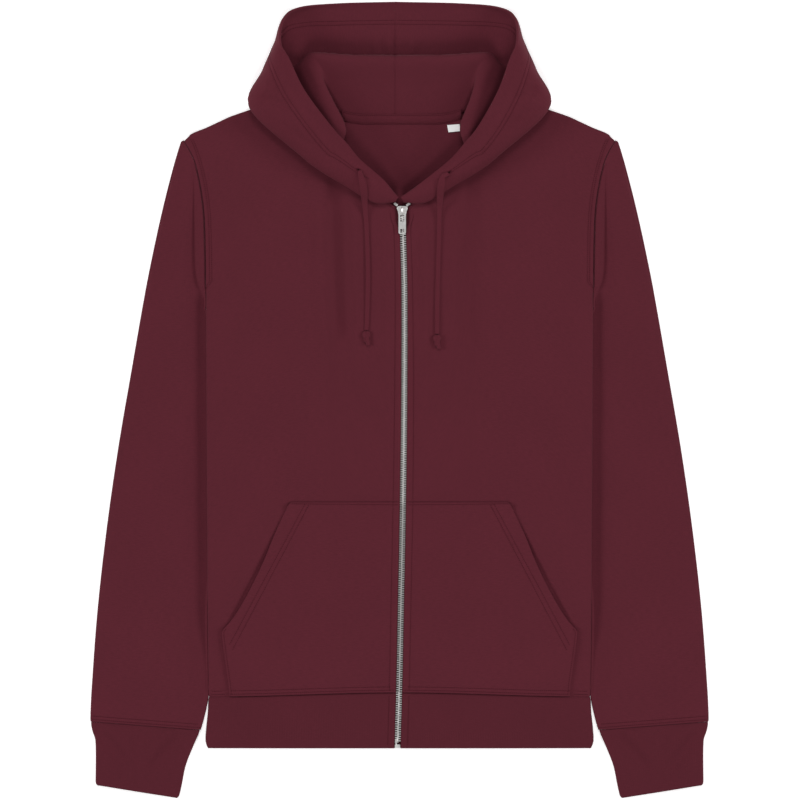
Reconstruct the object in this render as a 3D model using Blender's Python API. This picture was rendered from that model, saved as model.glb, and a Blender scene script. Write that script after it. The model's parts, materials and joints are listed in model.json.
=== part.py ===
"""A zip-up hoodie in sweatshirt fleece, laid flat on its back.

Every cut piece is a wall of cloth of its own: fronts, back, sleeves, cuffs, hem band, pockets, hood
halves and neck tape, with the zip's metal pieces and the two drawcord ends.

Frame: X across the garment, Y from the hem (-Y) to the hood (+Y), Z up from the surface it lies on.
The tables and functions work in millimetres; objects are made in metres.
"""

import math

import bpy
import numpy as np

MM = 0.001

# ---- driving sizes, millimetres ----
CLOTH = 1.5                 # wall of sweatshirt cloth
SEAM = 0.3                  # between two pieces at a seam
LAY = 0.5                   # between a piece and the cloth that it lies on
BODY_GAP = 3.8              # hollow between front and back in the middle of the body
EDGE_GAP = 2.0              # the same at the side fold
SHOULDER_GAP = 0.6          # the same along the shoulder seam
SLEEVE_GAP = 3.8            # hollow in the middle of a sleeve
CUFF_GAP = 2.4              # hollow in the middle of a cuff
TUCKED_GAP = 1.3            # hollow where the sleeve runs under the body
RETURN = 64.0               # cloth of each front turned under at the side
SHOULDER_DROP = 75.0        # the body's hollow opens over this depth below the shoulder
CHAIN_HALF = 2.9            # half the width of the closed zip chain
CHAIN = 2.4                 # thickness of the chain
ZIP_EDGE = 3.7              # from the zip's middle to the edge of a front
ZIP_EDGE_TOP = 7.3          # the same beside the slider
TAPE = 0.7                  # zip tape thickness
TAPE_INNER = 3.2            # from the zip's middle to the edges of a tape
TAPE_OUTER = 15.2
BAND_Y = -372.5             # lower edge of the hem band
HEM_Y = -313.0              # hem seam at the zip
HEM_DROP = 4.5              # the seam is this much lower at the sides
ARMHOLE_END = 124.0         # the armhole seam goes under the side fold below this
TUCK_START = 98.0           # below this the sleeve can lie under the body
TUCK_FULL = 40.0
CORD_RADIUS = 2.2

SIDES = {"left": -1.0, "right": 1.0}


# ---- shapes from tables ----
def blend(start, end, value):
    """0 at start, 1 at end, smooth between them and level outside. start may be the greater."""
    share = min(max((value - start) / (end - start), 0.0), 1.0)
    return share * share * (3.0 - 2.0 * share)


def curve(keys, values, key):
    """The value at a key on a smooth line through (key, value) pairs, the keys rising."""
    if key <= keys[0]:
        return np.array(values[0], float)
    if key >= keys[-1]:
        return np.array(values[-1], float)
    index = max(i for i in range(len(keys) - 1) if keys[i] <= key)
    points = np.array(values, float)

    def slope(i):
        before = max(i - 1, 0)
        after = min(i + 1, len(keys) - 1)
        return (points[after] - points[before]) / (keys[after] - keys[before])

    step = keys[index + 1] - keys[index]
    t = (key - keys[index]) / step
    ahead = t * t * (3.0 - 2.0 * t)
    out = points[index] * (1.0 - ahead) + points[index + 1] * ahead
    out = out + slope(index) * step * t * (1.0 - t) ** 2
    return out - slope(index + 1) * step * t * t * (1.0 - t)


def x_at(table, y):
    """x of an outline, given as rows of (y, x) with y falling, at the height y."""
    return float(curve([-row[0] for row in table], [row[1] for row in table], -y))


def y_at(table, x):
    """y of a top edge, given as rows of (x, y) with x rising, at the distance x from the middle."""
    return float(curve([row[0] for row in table], [row[1] for row in table], abs(x)))


# Outlines of the right half, +X; the left half mirrors them.
#            y       x
ARMHOLE = ((277.0, 231.0), (267.5, 225.0), (253.5, 218.8), (225.0, 212.4), (198.0, 209.2),
           (166.0, 208.1), (129.5, 207.6), (107.0, 207.0))
SIDE = ((107.0, 207.0), (-100.0, 206.0), (-317.0, 204.5))
BAND_SIDE = ((-317.0, 204.5), (-334.0, 205.2), (-350.0, 206.9), (-366.0, 207.6), (-372.5, 205.0))
SLEEVE_OUTER = ((276.0, 233.4), (267.5, 236.2), (246.0, 242.4), (203.0, 253.2), (160.5, 262.6),
                (117.5, 271.2), (32.0, 286.2), (-53.5, 300.8), (-139.0, 313.0), (-224.5, 322.6),
                (-310.0, 329.0), (-344.0, 330.6))
TUCKED_EDGE = ((98.0, 207.6), (TUCK_FULL, 184.0), (-53.0, 178.0), (-130.0, 190.0), (-190.0, 203.0),
               (-218.0, 206.0), (-300.0, 205.4), (-319.0, 205.5), (-353.0, 213.0))
CUFF_OUTER = ((-344.5, 330.0), (-354.0, 328.0), (-364.0, 324.8), (-412.0, 324.6))
CUFF_INNER = ((-353.3, 214.0), (-369.0, 221.0), (-390.5, 229.5), (-412.0, 234.0), (-425.5, 237.0))
POCKET_SIDE = ((-109.5, 116.0), (-112.0, 118.5), (-146.0, 135.2), (-171.0, 146.2), (-196.0, 158.2),
               (-221.0, 171.6), (-236.0, 181.0), (-245.0, 188.6), (-249.0, 190.0), (-314.0, 181.5))
#             x      y
BACK_NECK = ((0.0, 300.5), (40.0, 301.5), (60.0, 305.0), (75.0, 312.0), (87.0, 323.0))
FRONT_NECK = ((3.0, 206.5), (12.0, 212.0), (24.0, 218.0), (38.0, 229.0), (53.0, 241.5), (68.0, 258.5),
              (78.5, 280.0), (87.0, 323.0))
SHOULDER = ((87.0, 323.0), (138.5, 316.5), (179.0, 304.0), (193.5, 297.5), (207.5, 291.0),
            (223.0, 284.5), (231.0, 277.0))
#             y      x of the zip's middle, which wanders a little
ZIP_LINE = ((212.0, 2.6), (171.0, 3.9), (118.0, 5.2), (0.0, 5.0), (-107.0, 3.7), (-214.0, 1.6),
            (-310.0, -0.4), (BAND_Y, -2.2))


def zip_x(y):
    return x_at(ZIP_LINE, y)


def zip_edge(side, y):
    """x of a front's edge at the zip. It draws back beside the slider."""
    return zip_x(y) + side * (ZIP_EDGE + (ZIP_EDGE_TOP - ZIP_EDGE) * blend(180.0, 193.0, y))


def side_x(y):
    """Half the width of the body: at the armhole seam above, at the side fold below."""
    if y > ARMHOLE[-1][0]:
        return x_at(ARMHOLE, y)
    if y > SIDE[-1][0]:
        return x_at(SIDE, y)
    return x_at(BAND_SIDE, y)


def hem_y(x):
    return HEM_Y - HEM_DROP * blend(0.0, 205.0, abs(x))


# ---- how high each layer lies ----
TUCKED_TOP = 2.0 * CLOTH + TUCKED_GAP       # top of a sleeve under the body


def under_lift(x, y):
    """How far the sleeves that run under the body's sides hold its lower layer up."""
    along = blend(130.0, TUCK_START + 2.0, y) * blend(-300.0, -212.0, y)
    return (TUCKED_TOP + LAY) * along * blend(82.0, 172.0, abs(x))


def body_gap(x, y):
    """The hollow between the lower and the upper layer of the body."""
    shoulder = y_at(SHOULDER, x) if abs(x) > SHOULDER[0][0] else SHOULDER[0][1]
    middle = SHOULDER_GAP + (BODY_GAP - SHOULDER_GAP) * blend(0.0, SHOULDER_DROP, shoulder - y)
    folded = blend(130.0, TUCK_START, y) * blend(120.0, 190.0, abs(x))
    return middle + (EDGE_GAP - middle) * folded


def back_mid(x, y):
    return under_lift(x, y) + CLOTH / 2.0


def front_mid(x, y):
    return under_lift(x, y) + CLOTH + body_gap(x, y) + CLOTH / 2.0


def front_top(x, y):
    return front_mid(x, y) + CLOTH / 2.0


TAPE_Z = 2.0 * CLOTH + BODY_GAP - CLOTH - SEAM - TAPE / 2.0     # middle of the zip tapes


# ---- making solids ----
def make_material(name, colour, roughness, metallic=0.0):
    made = bpy.data.materials.new(name)
    made.use_nodes = True
    shader = made.node_tree.nodes["Principled BSDF"]
    shader.inputs["Base Color"].default_value = (*colour, 1.0)
    shader.inputs["Roughness"].default_value = roughness
    shader.inputs["Metallic"].default_value = metallic
    made.diffuse_color = (*colour, 1.0)
    return made


def add_object(name, vertices, faces, finish):
    """One closed body with its faces turned out, from points in millimetres."""
    mesh = bpy.data.meshes.new(name)
    mesh.from_pydata([tuple(float(c) * MM for c in point) for point in vertices], [], faces)
    volume = 0.0
    for face in mesh.polygons:
        corners = [mesh.vertices[i].co for i in face.vertices]
        for k in range(1, len(corners) - 1):
            volume += corners[0].dot(corners[k].cross(corners[k + 1]))
    if volume < 0.0:
        mesh.flip_normals()
    mesh.shade_smooth()
    mesh.set_sharp_from_angle(angle=math.radians(50.0))
    mesh.materials.append(finish)
    made = bpy.data.objects.new(name, mesh)
    bpy.context.scene.collection.objects.link(made)
    return made


def grid_normals(grid):
    """Unit normals of a grid of points (rows, columns, 3)."""
    normals = np.cross(np.gradient(grid, axis=0), np.gradient(grid, axis=1))
    return normals / np.maximum(np.linalg.norm(normals, axis=2, keepdims=True), 1e-9)


def add_sheet(name, grid, finish, thickness=CLOTH, guides=False, normals=None):
    """A wall of cloth around a grid of points that lie in its middle.

    With guides, the first and the last column only say which way the cloth's edges run.
    """
    grid = np.array(grid, float)
    normals = grid_normals(grid) if normals is None else np.array(normals)
    if guides:
        grid = grid[:, 1:-1]
        normals = normals[:, 1:-1]
    rows, columns = grid.shape[:2]
    layers = (grid + normals * thickness / 2.0, grid - normals * thickness / 2.0)
    vertices = [tuple(point) for layer in layers for point in layer.reshape(-1, 3)]
    under = rows * columns
    rim = [(0, c) for c in range(columns)]
    rim += [(r, columns - 1) for r in range(1, rows)]
    rim += [(rows - 1, c) for c in range(columns - 2, -1, -1)]
    rim += [(r, 0) for r in range(rows - 2, 0, -1)]
    rim = [r * columns + c for r, c in rim]
    faces = []
    for row in range(rows - 1):
        for column in range(columns - 1):
            first = row * columns + column
            corners = (first, first + columns, first + columns + 1, first + 1)
            faces.append(corners)
            faces.append(tuple(under + c for c in reversed(corners)))
    for here, there in zip(rim, rim[1:] + rim[:1]):
        faces.append((here, there, under + there, under + here))
    return add_object(name, vertices, faces, finish)


def add_block(name, low, high, finish):
    """A box from its lowest to its highest corner."""
    vertices = [(x, y, z) for z in (low[2], high[2]) for y in (low[1], high[1]) for x in (low[0], high[0])]
    faces = [(0, 2, 3, 1), (4, 5, 7, 6), (0, 1, 5, 4), (2, 6, 7, 3), (0, 4, 6, 2), (1, 3, 7, 5)]
    return add_object(name, vertices, faces, finish)


def coons(top, bottom, inner, outer, s, p):
    """A point of the patch between four edges: s runs from top to bottom, p from inner to outer."""
    corner = [np.array(top(0.0)), np.array(top(1.0)), np.array(bottom(0.0)), np.array(bottom(1.0))]
    ends = (1.0 - s) * np.array(top(p)) + s * np.array(bottom(p))
    sides = (1.0 - p) * np.array(inner(s)) + p * np.array(outer(s))
    flat = (1.0 - s) * ((1.0 - p) * corner[0] + p * corner[1]) + s * ((1.0 - p) * corner[2] + p * corner[3])
    return ends + sides - flat


def bend(length, angle, share):
    """Reach and drop along an arc of a set length that starts level and turns down by an angle."""
    if angle < 0.02:
        return length * share, 0.0
    radius = length / angle
    return radius * math.sin(angle * share), radius * (1.0 - math.cos(angle * share))


# ---- body ----
FOLD_LENGTH = math.pi * (EDGE_GAP + CLOTH) / 2.0
BODY_LEVELS = (277.0, 268.0, 256.0, 242.0, 222.0, 198.0, 165.0, 130.0, 121.0, 114.0, 107.0, 98.0, 80.0,
               60.0, 40.0, -10.0, -80.0, -145.0, -205.0, -228.0, -250.0, -272.0, -296.0, -317.5)
FRONT_PARTS = (0.0, 0.1, 0.2, 0.3, 0.4, 0.55, 0.7, 0.85, 1.0)
FOLD_PARTS = (0.33, 0.67, 1.0)
RETURN_PARTS = (0.4, 1.0)
SHORT_RETURN = 1.2


def turn_angle(y):
    """How far the front's side is turned under: not at the armhole, half a turn along the fold."""
    return math.pi * blend(ARMHOLE_END, TUCK_START + 1.0, y)


def return_width(y):
    return SHORT_RETURN + (RETURN - SHORT_RETURN) * blend(TUCK_START, TUCK_FULL, y)


def fold_start(y):
    """x where the front's side starts to turn under."""
    angle = turn_angle(y)
    reach = max(bend(FOLD_LENGTH, angle, part)[0] for part in FOLD_PARTS)
    wall = CLOTH / 2.0 * blend(0.0, math.pi / 2.0, angle)
    return side_x(y) - SEAM / 2.0 - wall - reach - SHORT_RETURN * (1.0 - blend(0.0, math.pi / 2.0, angle))


def level_share(y):
    return (BODY_LEVELS[0] - y) / (BODY_LEVELS[0] - BODY_LEVELS[-1])


def top_edge(neck, p, last_x, neck_share=0.4):
    """The top of a panel: its neck edge over the first share, and the shoulder seam after it."""
    if p < neck_share:
        return tuple(curve(range(len(neck)), neck, p / neck_share * (len(neck) - 1)))
    x = SHOULDER[0][0] + (last_x - SHOULDER[0][0]) * (p - neck_share) / (1.0 - neck_share)
    return x, y_at(SHOULDER, x)


def height_normal(height, side, x, y):
    """The normal of a layer given by its height over (x, y), for the left or the right half."""
    step = 0.5
    slope_x = (height(x + step, y) - height(x - step, y)) / (2.0 * step)
    slope_y = (height(x, y + step) - height(x, y - step)) / (2.0 * step)
    length = math.sqrt(slope_x ** 2 + slope_y ** 2 + 1.0)
    return -side * slope_x / length, -slope_y / length, 1.0 / length


def add_front(name, side, finish):
    inner_top = FRONT_NECK[0][1]

    def inner(s):
        y = inner_top + (HEM_Y - inner_top) * s
        return side * zip_edge(side, y), y

    def top(p):
        x, y = top_edge(FRONT_NECK, p, fold_start(BODY_LEVELS[0]))
        start = side * zip_edge(side, inner_top) - FRONT_NECK[0][0]
        return x + start * (1.0 - blend(0.0, FRONT_PARTS[1], p)), y

    def bottom(p):
        x = side * zip_edge(side, HEM_Y) * (1.0 - p) + fold_start(BODY_LEVELS[-1]) * p
        return x, hem_y(x)

    tip = top(1.0)[1] - BODY_LEVELS[0]

    def outer(s):
        y = BODY_LEVELS[0] + (BODY_LEVELS[-1] - BODY_LEVELS[0]) * s
        return fold_start(y), y + tip * blend(250.0, BODY_LEVELS[0], y)

    grid = []
    normals = []
    for level in BODY_LEVELS:
        row = []
        facing = []
        for part in FRONT_PARTS:
            x, y = coons(top, bottom, inner, outer, level_share(level), part)
            row.append((side * x, y, front_mid(x, y)))
            facing.append(height_normal(front_mid, side, x, y))
        angle = turn_angle(level)
        facing += [(side * math.sin(angle * part), 0.0, math.cos(angle * part)) for part in FOLD_PARTS]
        facing += [facing[-1]] * len(RETURN_PARTS)
        start_x, start_y = outer(level_share(level))
        start_z = front_mid(start_x, start_y)
        for part in FOLD_PARTS:
            reach, drop = bend(FOLD_LENGTH, angle, part)
            row.append((side * (start_x + reach), start_y + (level - start_y) * part, start_z - drop))
        end_x = start_x + bend(FOLD_LENGTH, angle, 1.0)[0]
        end_z = row[-1][2]
        for part in RETURN_PARTS:
            x = end_x + return_width(level) * part * math.cos(angle)
            z = end_z - SHORT_RETURN * part * math.sin(angle)
            z += under_lift(x, level) - under_lift(end_x, level) if x < end_x else 0.0
            hem_rise = (hem_y(x) - BODY_LEVELS[-1]) * blend(BODY_LEVELS[-2], BODY_LEVELS[-1], level)
            row.append((side * x, level + hem_rise, z))
        grid.append(row)
        normals.append(facing)
    return add_sheet(name, grid, finish, normals=normals)


BACK_PARTS = (0.0, 0.2, 0.38, 0.55, 0.7, 0.85, 1.0)
FOLD_INSET = (EDGE_GAP + CLOTH) / 2.0 + CLOTH / 2.0 + 2.0 * SEAM    # side fold to the return, and the seam


def back_edge(y):
    """x of the back's edge: the armhole seam above, the side seam under the fold below."""
    tucked = blend(130.0, ARMHOLE_END - 2.0, y)
    return side_x(y) - SEAM / 2.0 - tucked * (FOLD_INSET + return_width(y))


def add_back(finish):
    def inner(s):
        y = BACK_NECK[0][1] + (HEM_Y - BACK_NECK[0][1]) * s
        return 0.0, y

    def top(p):
        return top_edge(BACK_NECK, p, back_edge(BODY_LEVELS[0]), 0.45)

    def bottom(p):
        x = back_edge(BODY_LEVELS[-1]) * p
        return x, hem_y(x)

    last_y = bottom(1.0)[1]

    def outer(s):
        y = BODY_LEVELS[0] + (BODY_LEVELS[-1] - BODY_LEVELS[0]) * s
        return back_edge(y), y + (last_y - BODY_LEVELS[-1]) * blend(-232.0, BODY_LEVELS[-1], y)

    grid = []
    for level in BODY_LEVELS:
        half = []
        for part in BACK_PARTS:
            x, y = coons(top, bottom, inner, outer, level_share(level), part)
            half.append((x, y, back_mid(x, y)))
        grid.append([(-x, y, z) for x, y, z in reversed(half[1:])] + half)
    return add_sheet("back", grid, finish)


BAND_LEVELS = (None, -330.0, -350.0, -366.0, BAND_Y)     # the first follows the hem seam
BAND_FRONT_PARTS = (0.0, 0.2, 0.4, 0.6, 0.8, 1.0)
BAND_BACK_PARTS = (0.14, 0.28, 0.42, 0.56, 0.78)


def add_band(finish):
    """The rib band: one strip from zip edge to zip edge, folded at each side."""
    radius = (EDGE_GAP + CLOTH) / 2.0
    grid = []
    for level in BAND_LEVELS:
        def row_y(x):
            return hem_y(x) - SEAM if level is None else level

        halves = []
        for side in SIDES.values():
            y_side = row_y(SIDE[-1][1])
            start_x = side_x(y_side) - CLOTH / 2.0 - radius
            near = side * zip_edge(side, row_y(0.0))
            half = []
            for part in BAND_FRONT_PARTS:
                x = near + (start_x - near) * part
                half.append((side * x, row_y(x), front_mid(x, row_y(x))))
            for part in FOLD_PARTS:
                reach, drop = bend(FOLD_LENGTH, math.pi, part)
                half.append((side * (start_x + reach), y_side, front_mid(start_x, y_side) - drop))
            for part in BAND_BACK_PARTS:
                x = start_x * (1.0 - part)
                half.append((side * x, row_y(x), back_mid(x, row_y(x))))
            halves.append(half)
        grid.append(halves[0] + [(0.0, row_y(0.0), CLOTH / 2.0)] + halves[1][::-1])
    return add_sheet("hem_band", grid, finish)


# ---- sleeves and cuffs ----
TOP_PARTS = (0.0, 0.07, 0.16, 0.3, 0.5, 0.72, 0.9)
UNDER_PARTS = (0.75, 0.4, 0.0)
OUTER_FOLD = (0.0, 0.33, 0.67, 1.0)
INNER_FOLD = (1.5, 1.0, 0.5)        # the first is a guide past the edge
INNER_RADIUS = (TUCKED_GAP + CLOTH - 2.0 * SEAM) / 2.0


def tube_top(reach, width, inner_z, low_z, flat, outer_z, gap):
    """Middle height of a tube's upper wall at a distance from its inner edge."""
    scale = min(1.0, width / 75.0)
    peak = CLOTH + gap + CLOTH / 2.0
    height = inner_z + (low_z - inner_z) * blend(4.0 * scale, 13.0 * scale, reach - flat)
    height = height + (peak - height) * blend(9.0 * scale, 42.0 * scale, reach - flat)
    rounding = min(max(1.0 - (width - reach) / (26.0 * scale), 0.0), 1.0)
    return outer_z + (height - outer_z) * math.sqrt(1.0 - rounding ** 2.4)


def tube_row(side, outer, inner, inner_z, low_z, flat, fold_radius, closed, gap):
    """One section of a flattened tube, rolled from one piece, its seam at the inner edge.

    outer and inner are (x, y) of its two edges. closed is 1 where the two edges meet at the seam, and
    0 where the tube is open towards the armhole.
    """
    outer = np.array(outer)
    inner = np.array(inner)
    angle = math.pi / 2.0 * closed
    length = math.pi / 2.0 * INNER_RADIUS
    ends = [bend(length, angle, part) for part in INNER_FOLD]
    start = bend(length, angle, 1.0)[0]
    width = np.linalg.norm(outer - inner)
    outer_z = CLOTH / 2.0 + 2.0 * fold_radius
    last = width - fold_radius
    row = []

    def place(reach, z):
        x, y = inner + (outer - inner) * reach / width
        row.append((side * x, y, z))

    for reach, drop in ends:
        place(start - reach, inner_z - drop)
    for part in TOP_PARTS:
        reach = start + (last - start) * part
        place(reach, tube_top(reach, last, inner_z, low_z, flat, outer_z, gap))
    for part in OUTER_FOLD:
        turn = math.pi * part
        place(last + fold_radius * math.sin(turn), CLOTH / 2.0 + fold_radius * (1.0 + math.cos(turn)))
    for part in UNDER_PARTS:
        place(start + (last - start) * part, CLOTH / 2.0)
    for reach, drop in reversed(ends):
        place(start - reach, CLOTH / 2.0 + drop)
    return row


SLEEVE_LEVELS = (273.6, 268.0, 256.0, 242.0, 222.0, 198.0, 165.0, 130.0, 121.0, 114.0, 107.0, 98.0, 80.0, 60.0,
                 40.0, -10.0, -80.0, -145.0, -205.0, -262.0, -310.0, -344.0)


def sleeve_inner(y):
    if y > TUCKED_EDGE[0][0]:
        return side_x(y) + SEAM / 2.0 + 0.1
    return x_at(TUCKED_EDGE, y)


def sleeve_row(side, y):
    """The sleeve's section at y. Near the cuff it slants down towards the body."""
    inner_y = y - 9.0 * blend(-215.0, -344.0, y)
    inner_x = sleeve_inner(inner_y)
    tucked = blend(130.0, TUCK_START, y)
    seam_z = front_mid(side_x(max(y, TUCK_START)) - 6.0, max(y, 130.0))
    tucked_z = TUCKED_TOP - CLOTH / 2.0
    inner_z = seam_z + (tucked_z - seam_z) * tucked
    covered = max(side_x(y) - inner_x, 0.0) * tucked if inner_y > SIDE[-1][0] else 0.0
    fold_radius = 1.05 + 0.65 * blend(262.0, 200.0, y)
    low_z = min(inner_z, tucked_z + 0.35)
    gap = SLEEVE_GAP * blend(290.0, 215.0, y) - (SLEEVE_GAP - CUFF_GAP) * blend(-290.0, -344.0, y)
    gap = max(gap, 2.0 * fold_radius - CLOTH + 0.1)
    return tube_row(side, (x_at(SLEEVE_OUTER, y), y), (inner_x, inner_y), inner_z, low_z,
                    covered, fold_radius, blend(TUCK_START, 84.0, y), gap)


def add_sleeve(name, side, finish):
    return add_sheet(name, [sleeve_row(side, y) for y in SLEEVE_LEVELS], finish, guides=True)


CUFF_PARTS = (0.0, 0.13, 0.27, 0.6, 0.96, 1.0)
CUFF_ROUND = 2.0            # the cuff's lower corners are rounded in by this
CUFF_FOLD = 1.7             # radius of its outer fold


def add_cuff(name, side, finish):
    edge_z = TUCKED_TOP - CLOTH / 2.0
    rows = []
    for share in CUFF_PARTS:
        outer_y = CUFF_OUTER[0][0] - SEAM + (CUFF_OUTER[-1][0] - CUFF_OUTER[0][0]) * share
        inner_y = CUFF_INNER[0][0] - SEAM + (CUFF_INNER[-1][0] - CUFF_INNER[0][0]) * share
        round_in = CUFF_ROUND * blend(0.94, 1.0, share)
        outer = (x_at(CUFF_OUTER, outer_y) - round_in, outer_y)
        inner = (x_at(CUFF_INNER, inner_y) + round_in, inner_y)
        rows.append(tube_row(side, outer, inner, edge_z, edge_z, 0.0, CUFF_FOLD, 1.0, CUFF_GAP))
    return add_sheet(name, rows, finish, guides=True)


# ---- pockets ----
POCKET_TOP = -109.5
POCKET_LEVELS = (POCKET_TOP, -112.5, -145.0, -175.0, -205.0, -228.0, -244.0, -250.0, -272.0, -296.0, -312.6)
POCKET_PARTS = (0.0, 0.18, 0.35, 0.5, 0.65, 0.8, 0.93, 1.0)
POCKET_LAY = 0.8            # clearance over the front


def add_pocket(name, side, finish):
    """A flat kangaroo pocket on one front, from the zip's edge to its slanted opening."""
    grid = []
    for level in POCKET_LEVELS:
        outer = x_at(POCKET_SIDE, level)
        row = []
        for part in POCKET_PARTS:
            near = side * zip_edge(side, level)
            x = near + (outer - near) * part
            y = level if level > POCKET_LEVELS[-1] else hem_y(x) + SEAM
            row.append((side * x, y, front_top(x, y) + POCKET_LAY + CLOTH / 2.0))
        grid.append(row)
    return add_sheet(name, grid, finish)


# ---- hood ----
# Sections of the left half from its face edge to the neck seam, each point (x, y, z):
#   edge, brow, crest, outer fold, under, floor, valley, lip, ridge, fall, seam.
# At the front the cloth stands up from the neck, flops out over the shoulder and comes back on top.
# At the back it leans forward over itself and ends in the crown, which lies inside up.
HOOD = (
    ("zip corner", (-1.6, 216.6, 12.2), (-2.3, 215.7, 12.9), (-3.2, 214.2, 12.9), (-4.1, 212.6, 11.7),
     (-4.2, 212.0, 10.0), (-3.9, 212.5, 8.8), (-3.6, 213.1, 8.4), (-3.2, 213.8, 8.2),
     (-2.9, 214.5, 8.2), (-2.6, 215.2, 8.2), (-2.3, 215.9, 8.2)),
    ("low collar", (-17.7, 235.4, 16.5), (-20.5, 229.8, 18.2), (-24.5, 220.6, 16.5), (-27.5, 212.8, 12.4),
     (-27.8, 211.8, 10.3), (-26.7, 213.3, 8.9), (-25.7, 214.8, 8.6), (-24.9, 215.9, 8.5),
     (-24.4, 216.8, 8.4), (-23.9, 217.6, 8.3), (-23.4, 218.4, 8.2)),
    ("collar", (-42.3, 256.8, 21.0), (-46.5, 251.5, 23.4), (-55.0, 239.5, 20.5), (-60.6, 231.2, 14.5),
     (-59.7, 232.3, 10.7), (-58.4, 234.1, 9.4), (-57.2, 235.8, 9.0), (-56.1, 237.3, 8.8),
     (-55.1, 238.7, 8.6), (-54.1, 240.1, 8.5), (-53.1, 241.5, 8.3)),
    ("fold start", (-57.0, 274.5, 23.5), (-63.5, 268.0, 26.5), (-77.0, 251.5, 22.5), (-84.0, 245.0, 16.5),
     (-82.4, 246.6, 11.5), (-80.2, 248.8, 9.7), (-77.4, 251.4, 10.2), (-74.2, 254.2, 12.4),
     (-69.2, 258.4, 13.6), (-67.0, 260.4, 11.0), (-68.6, 259.6, 8.0)),
    ("high collar", (-72.2, 291.0, 26.0), (-81.9, 283.6, 30.0), (-100.0, 266.4, 23.0), (-106.5, 262.2, 15.0),
     (-102.2, 264.8, 9.8), (-93.6, 270.7, 9.0), (-82.0, 277.8, 11.6), (-69.0, 285.4, 17.0),
     (-57.6, 288.6, 14.2), (-66.0, 284.6, 9.6), (-80.5, 276.5, 6.9)),
    ("shoulder", (-101.1, 329.6, 31.0), (-114.0, 324.2, 34.0), (-147.1, 315.7, 24.0), (-160.0, 313.0, 14.5),
     (-153.5, 311.4, 8.2), (-134.3, 313.5, 7.2), (-112.2, 318.7, 9.5), (-83.0, 322.1, 19.8),
     (-71.8, 320.6, 16.4), (-76.8, 315.0, 10.4), (-85.0, 301.0, 5.0)),
    ("side", (-117.2, 362.7, 34.0), (-127.9, 360.6, 34.5), (-140.7, 355.2, 26.0), (-146.1, 352.0, 14.5),
     (-141.8, 348.8, 7.2), (-131.1, 342.4, 5.0), (-115.3, 341.2, 9.0), (-93.1, 345.0, 21.4),
     (-82.9, 343.5, 20.2), (-81.0, 330.5, 12.5), (-88.0, 314.0, 4.9)),
    ("kink", (-126.8, 382.0, 31.0), (-130.5, 381.5, 26.0), (-132.9, 380.9, 18.0), (-133.0, 379.9, 9.5),
     (-130.0, 374.6, 4.2), (-120.4, 358.2, 4.8), (-112.9, 356.2, 9.6), (-99.6, 358.8, 21.0),
     (-87.2, 359.0, 22.0), (-79.0, 338.5, 14.0), (-83.5, 319.0, 4.7)),
    ("corner", (-123.1, 407.7, 20.0), (-124.4, 406.6, 15.0), (-124.0, 404.5, 9.0), (-121.4, 400.2, 4.8),
     (-101.8, 359.1, 2.0), (-97.4, 353.2, 5.4), (-100.0, 359.7, 9.4), (-98.1, 369.2, 18.5),
     (-87.2, 364.9, 23.4), (-73.4, 342.0, 14.5), (-74.0, 311.5, 3.6)),
    ("crown side", (-106.5, 419.4, 11.0), (-105.8, 417.7, 8.0), (-104.3, 414.1, 5.0), (-101.1, 406.6, 2.6),
     (-79.4, 346.5, 1.7), (-77.0, 340.3, 5.0), (-79.2, 346.6, 8.6), (-84.1, 370.2, 17.5),
     (-76.5, 364.9, 23.5), (-61.5, 340.3, 14.0), (-57.2, 303.4, 3.0)),
    ("crown", (-66.9, 424.1, 6.0), (-66.4, 421.6, 4.4), (-65.8, 416.2, 2.8), (-63.7, 404.5, 1.4),
     (-49.5, 337.5, 1.4), (-48.0, 331.4, 4.7), (-49.5, 337.7, 8.3), (-53.0, 368.1, 17.0),
     (-48.7, 363.3, 23.0), (-40.1, 338.1, 13.8), (-35.8, 300.2, 2.9)),
    ("middle", (-5.1, 426.0, 4.0), (-5.1, 423.2, 3.2), (-5.1, 417.3, 2.0), (-5.1, 404.5, 1.1),
     (-5.1, 335.6, 1.4), (-5.1, 329.6, 4.7), (-5.1, 335.9, 8.2), (-5.1, 367.5, 16.5),
     (-5.1, 362.7, 22.4), (-5.1, 337.1, 13.5), (-5.1, 299.6, 2.8)),
)
# The opening lies over to the right: the right half's face edge and its inner lobe are this much
# further out at each station, and its outer fold and seam aren't.
EDGE_SHIFT = (0.0, 10.0, 12.0, 13.0, 11.5, 4.0, 0.0, -2.0, 0.0, 0.0, 0.0, 0.0)
LOBE_SHIFT = (0.0, 0.0, 0.0, 3.0, 9.0, 4.0, 0.0, 0.0, 0.0, 0.0, 0.0, 0.0)
HOOD_ROWS = 23
HOOD_COLUMNS = (0.0, 1.0, 2.0, 3.0, 3.5, 4.0, 4.5, 5.0, 5.5, 6.0, 6.5, 7.0, 7.5, 8.0, 8.5, 9.0, 9.5, 10.0)
CENTRE_SEAM = -4.9          # the hood's middle seam lies a little to the left


def section_point(points, place):
    """A point of one section at a place counted in its points; the curve runs by length."""
    lengths = [0.0]
    for before, after in zip(points, points[1:]):
        lengths.append(lengths[-1] + math.dist(before, after))
    index = min(int(place), len(points) - 2)
    key = lengths[index] + (lengths[index + 1] - lengths[index]) * (place - index)
    return curve(lengths, points, key)


def hood_point(u, v):
    """A point in the middle of the left half's cloth: u from zip to crown, v from face edge to seam."""
    stations = [row[1:] for row in HOOD]
    along = [section_point(points, v * (len(points) - 1)) for points in stations]
    return curve(range(len(along)), along, u * (len(along) - 1))


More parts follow.
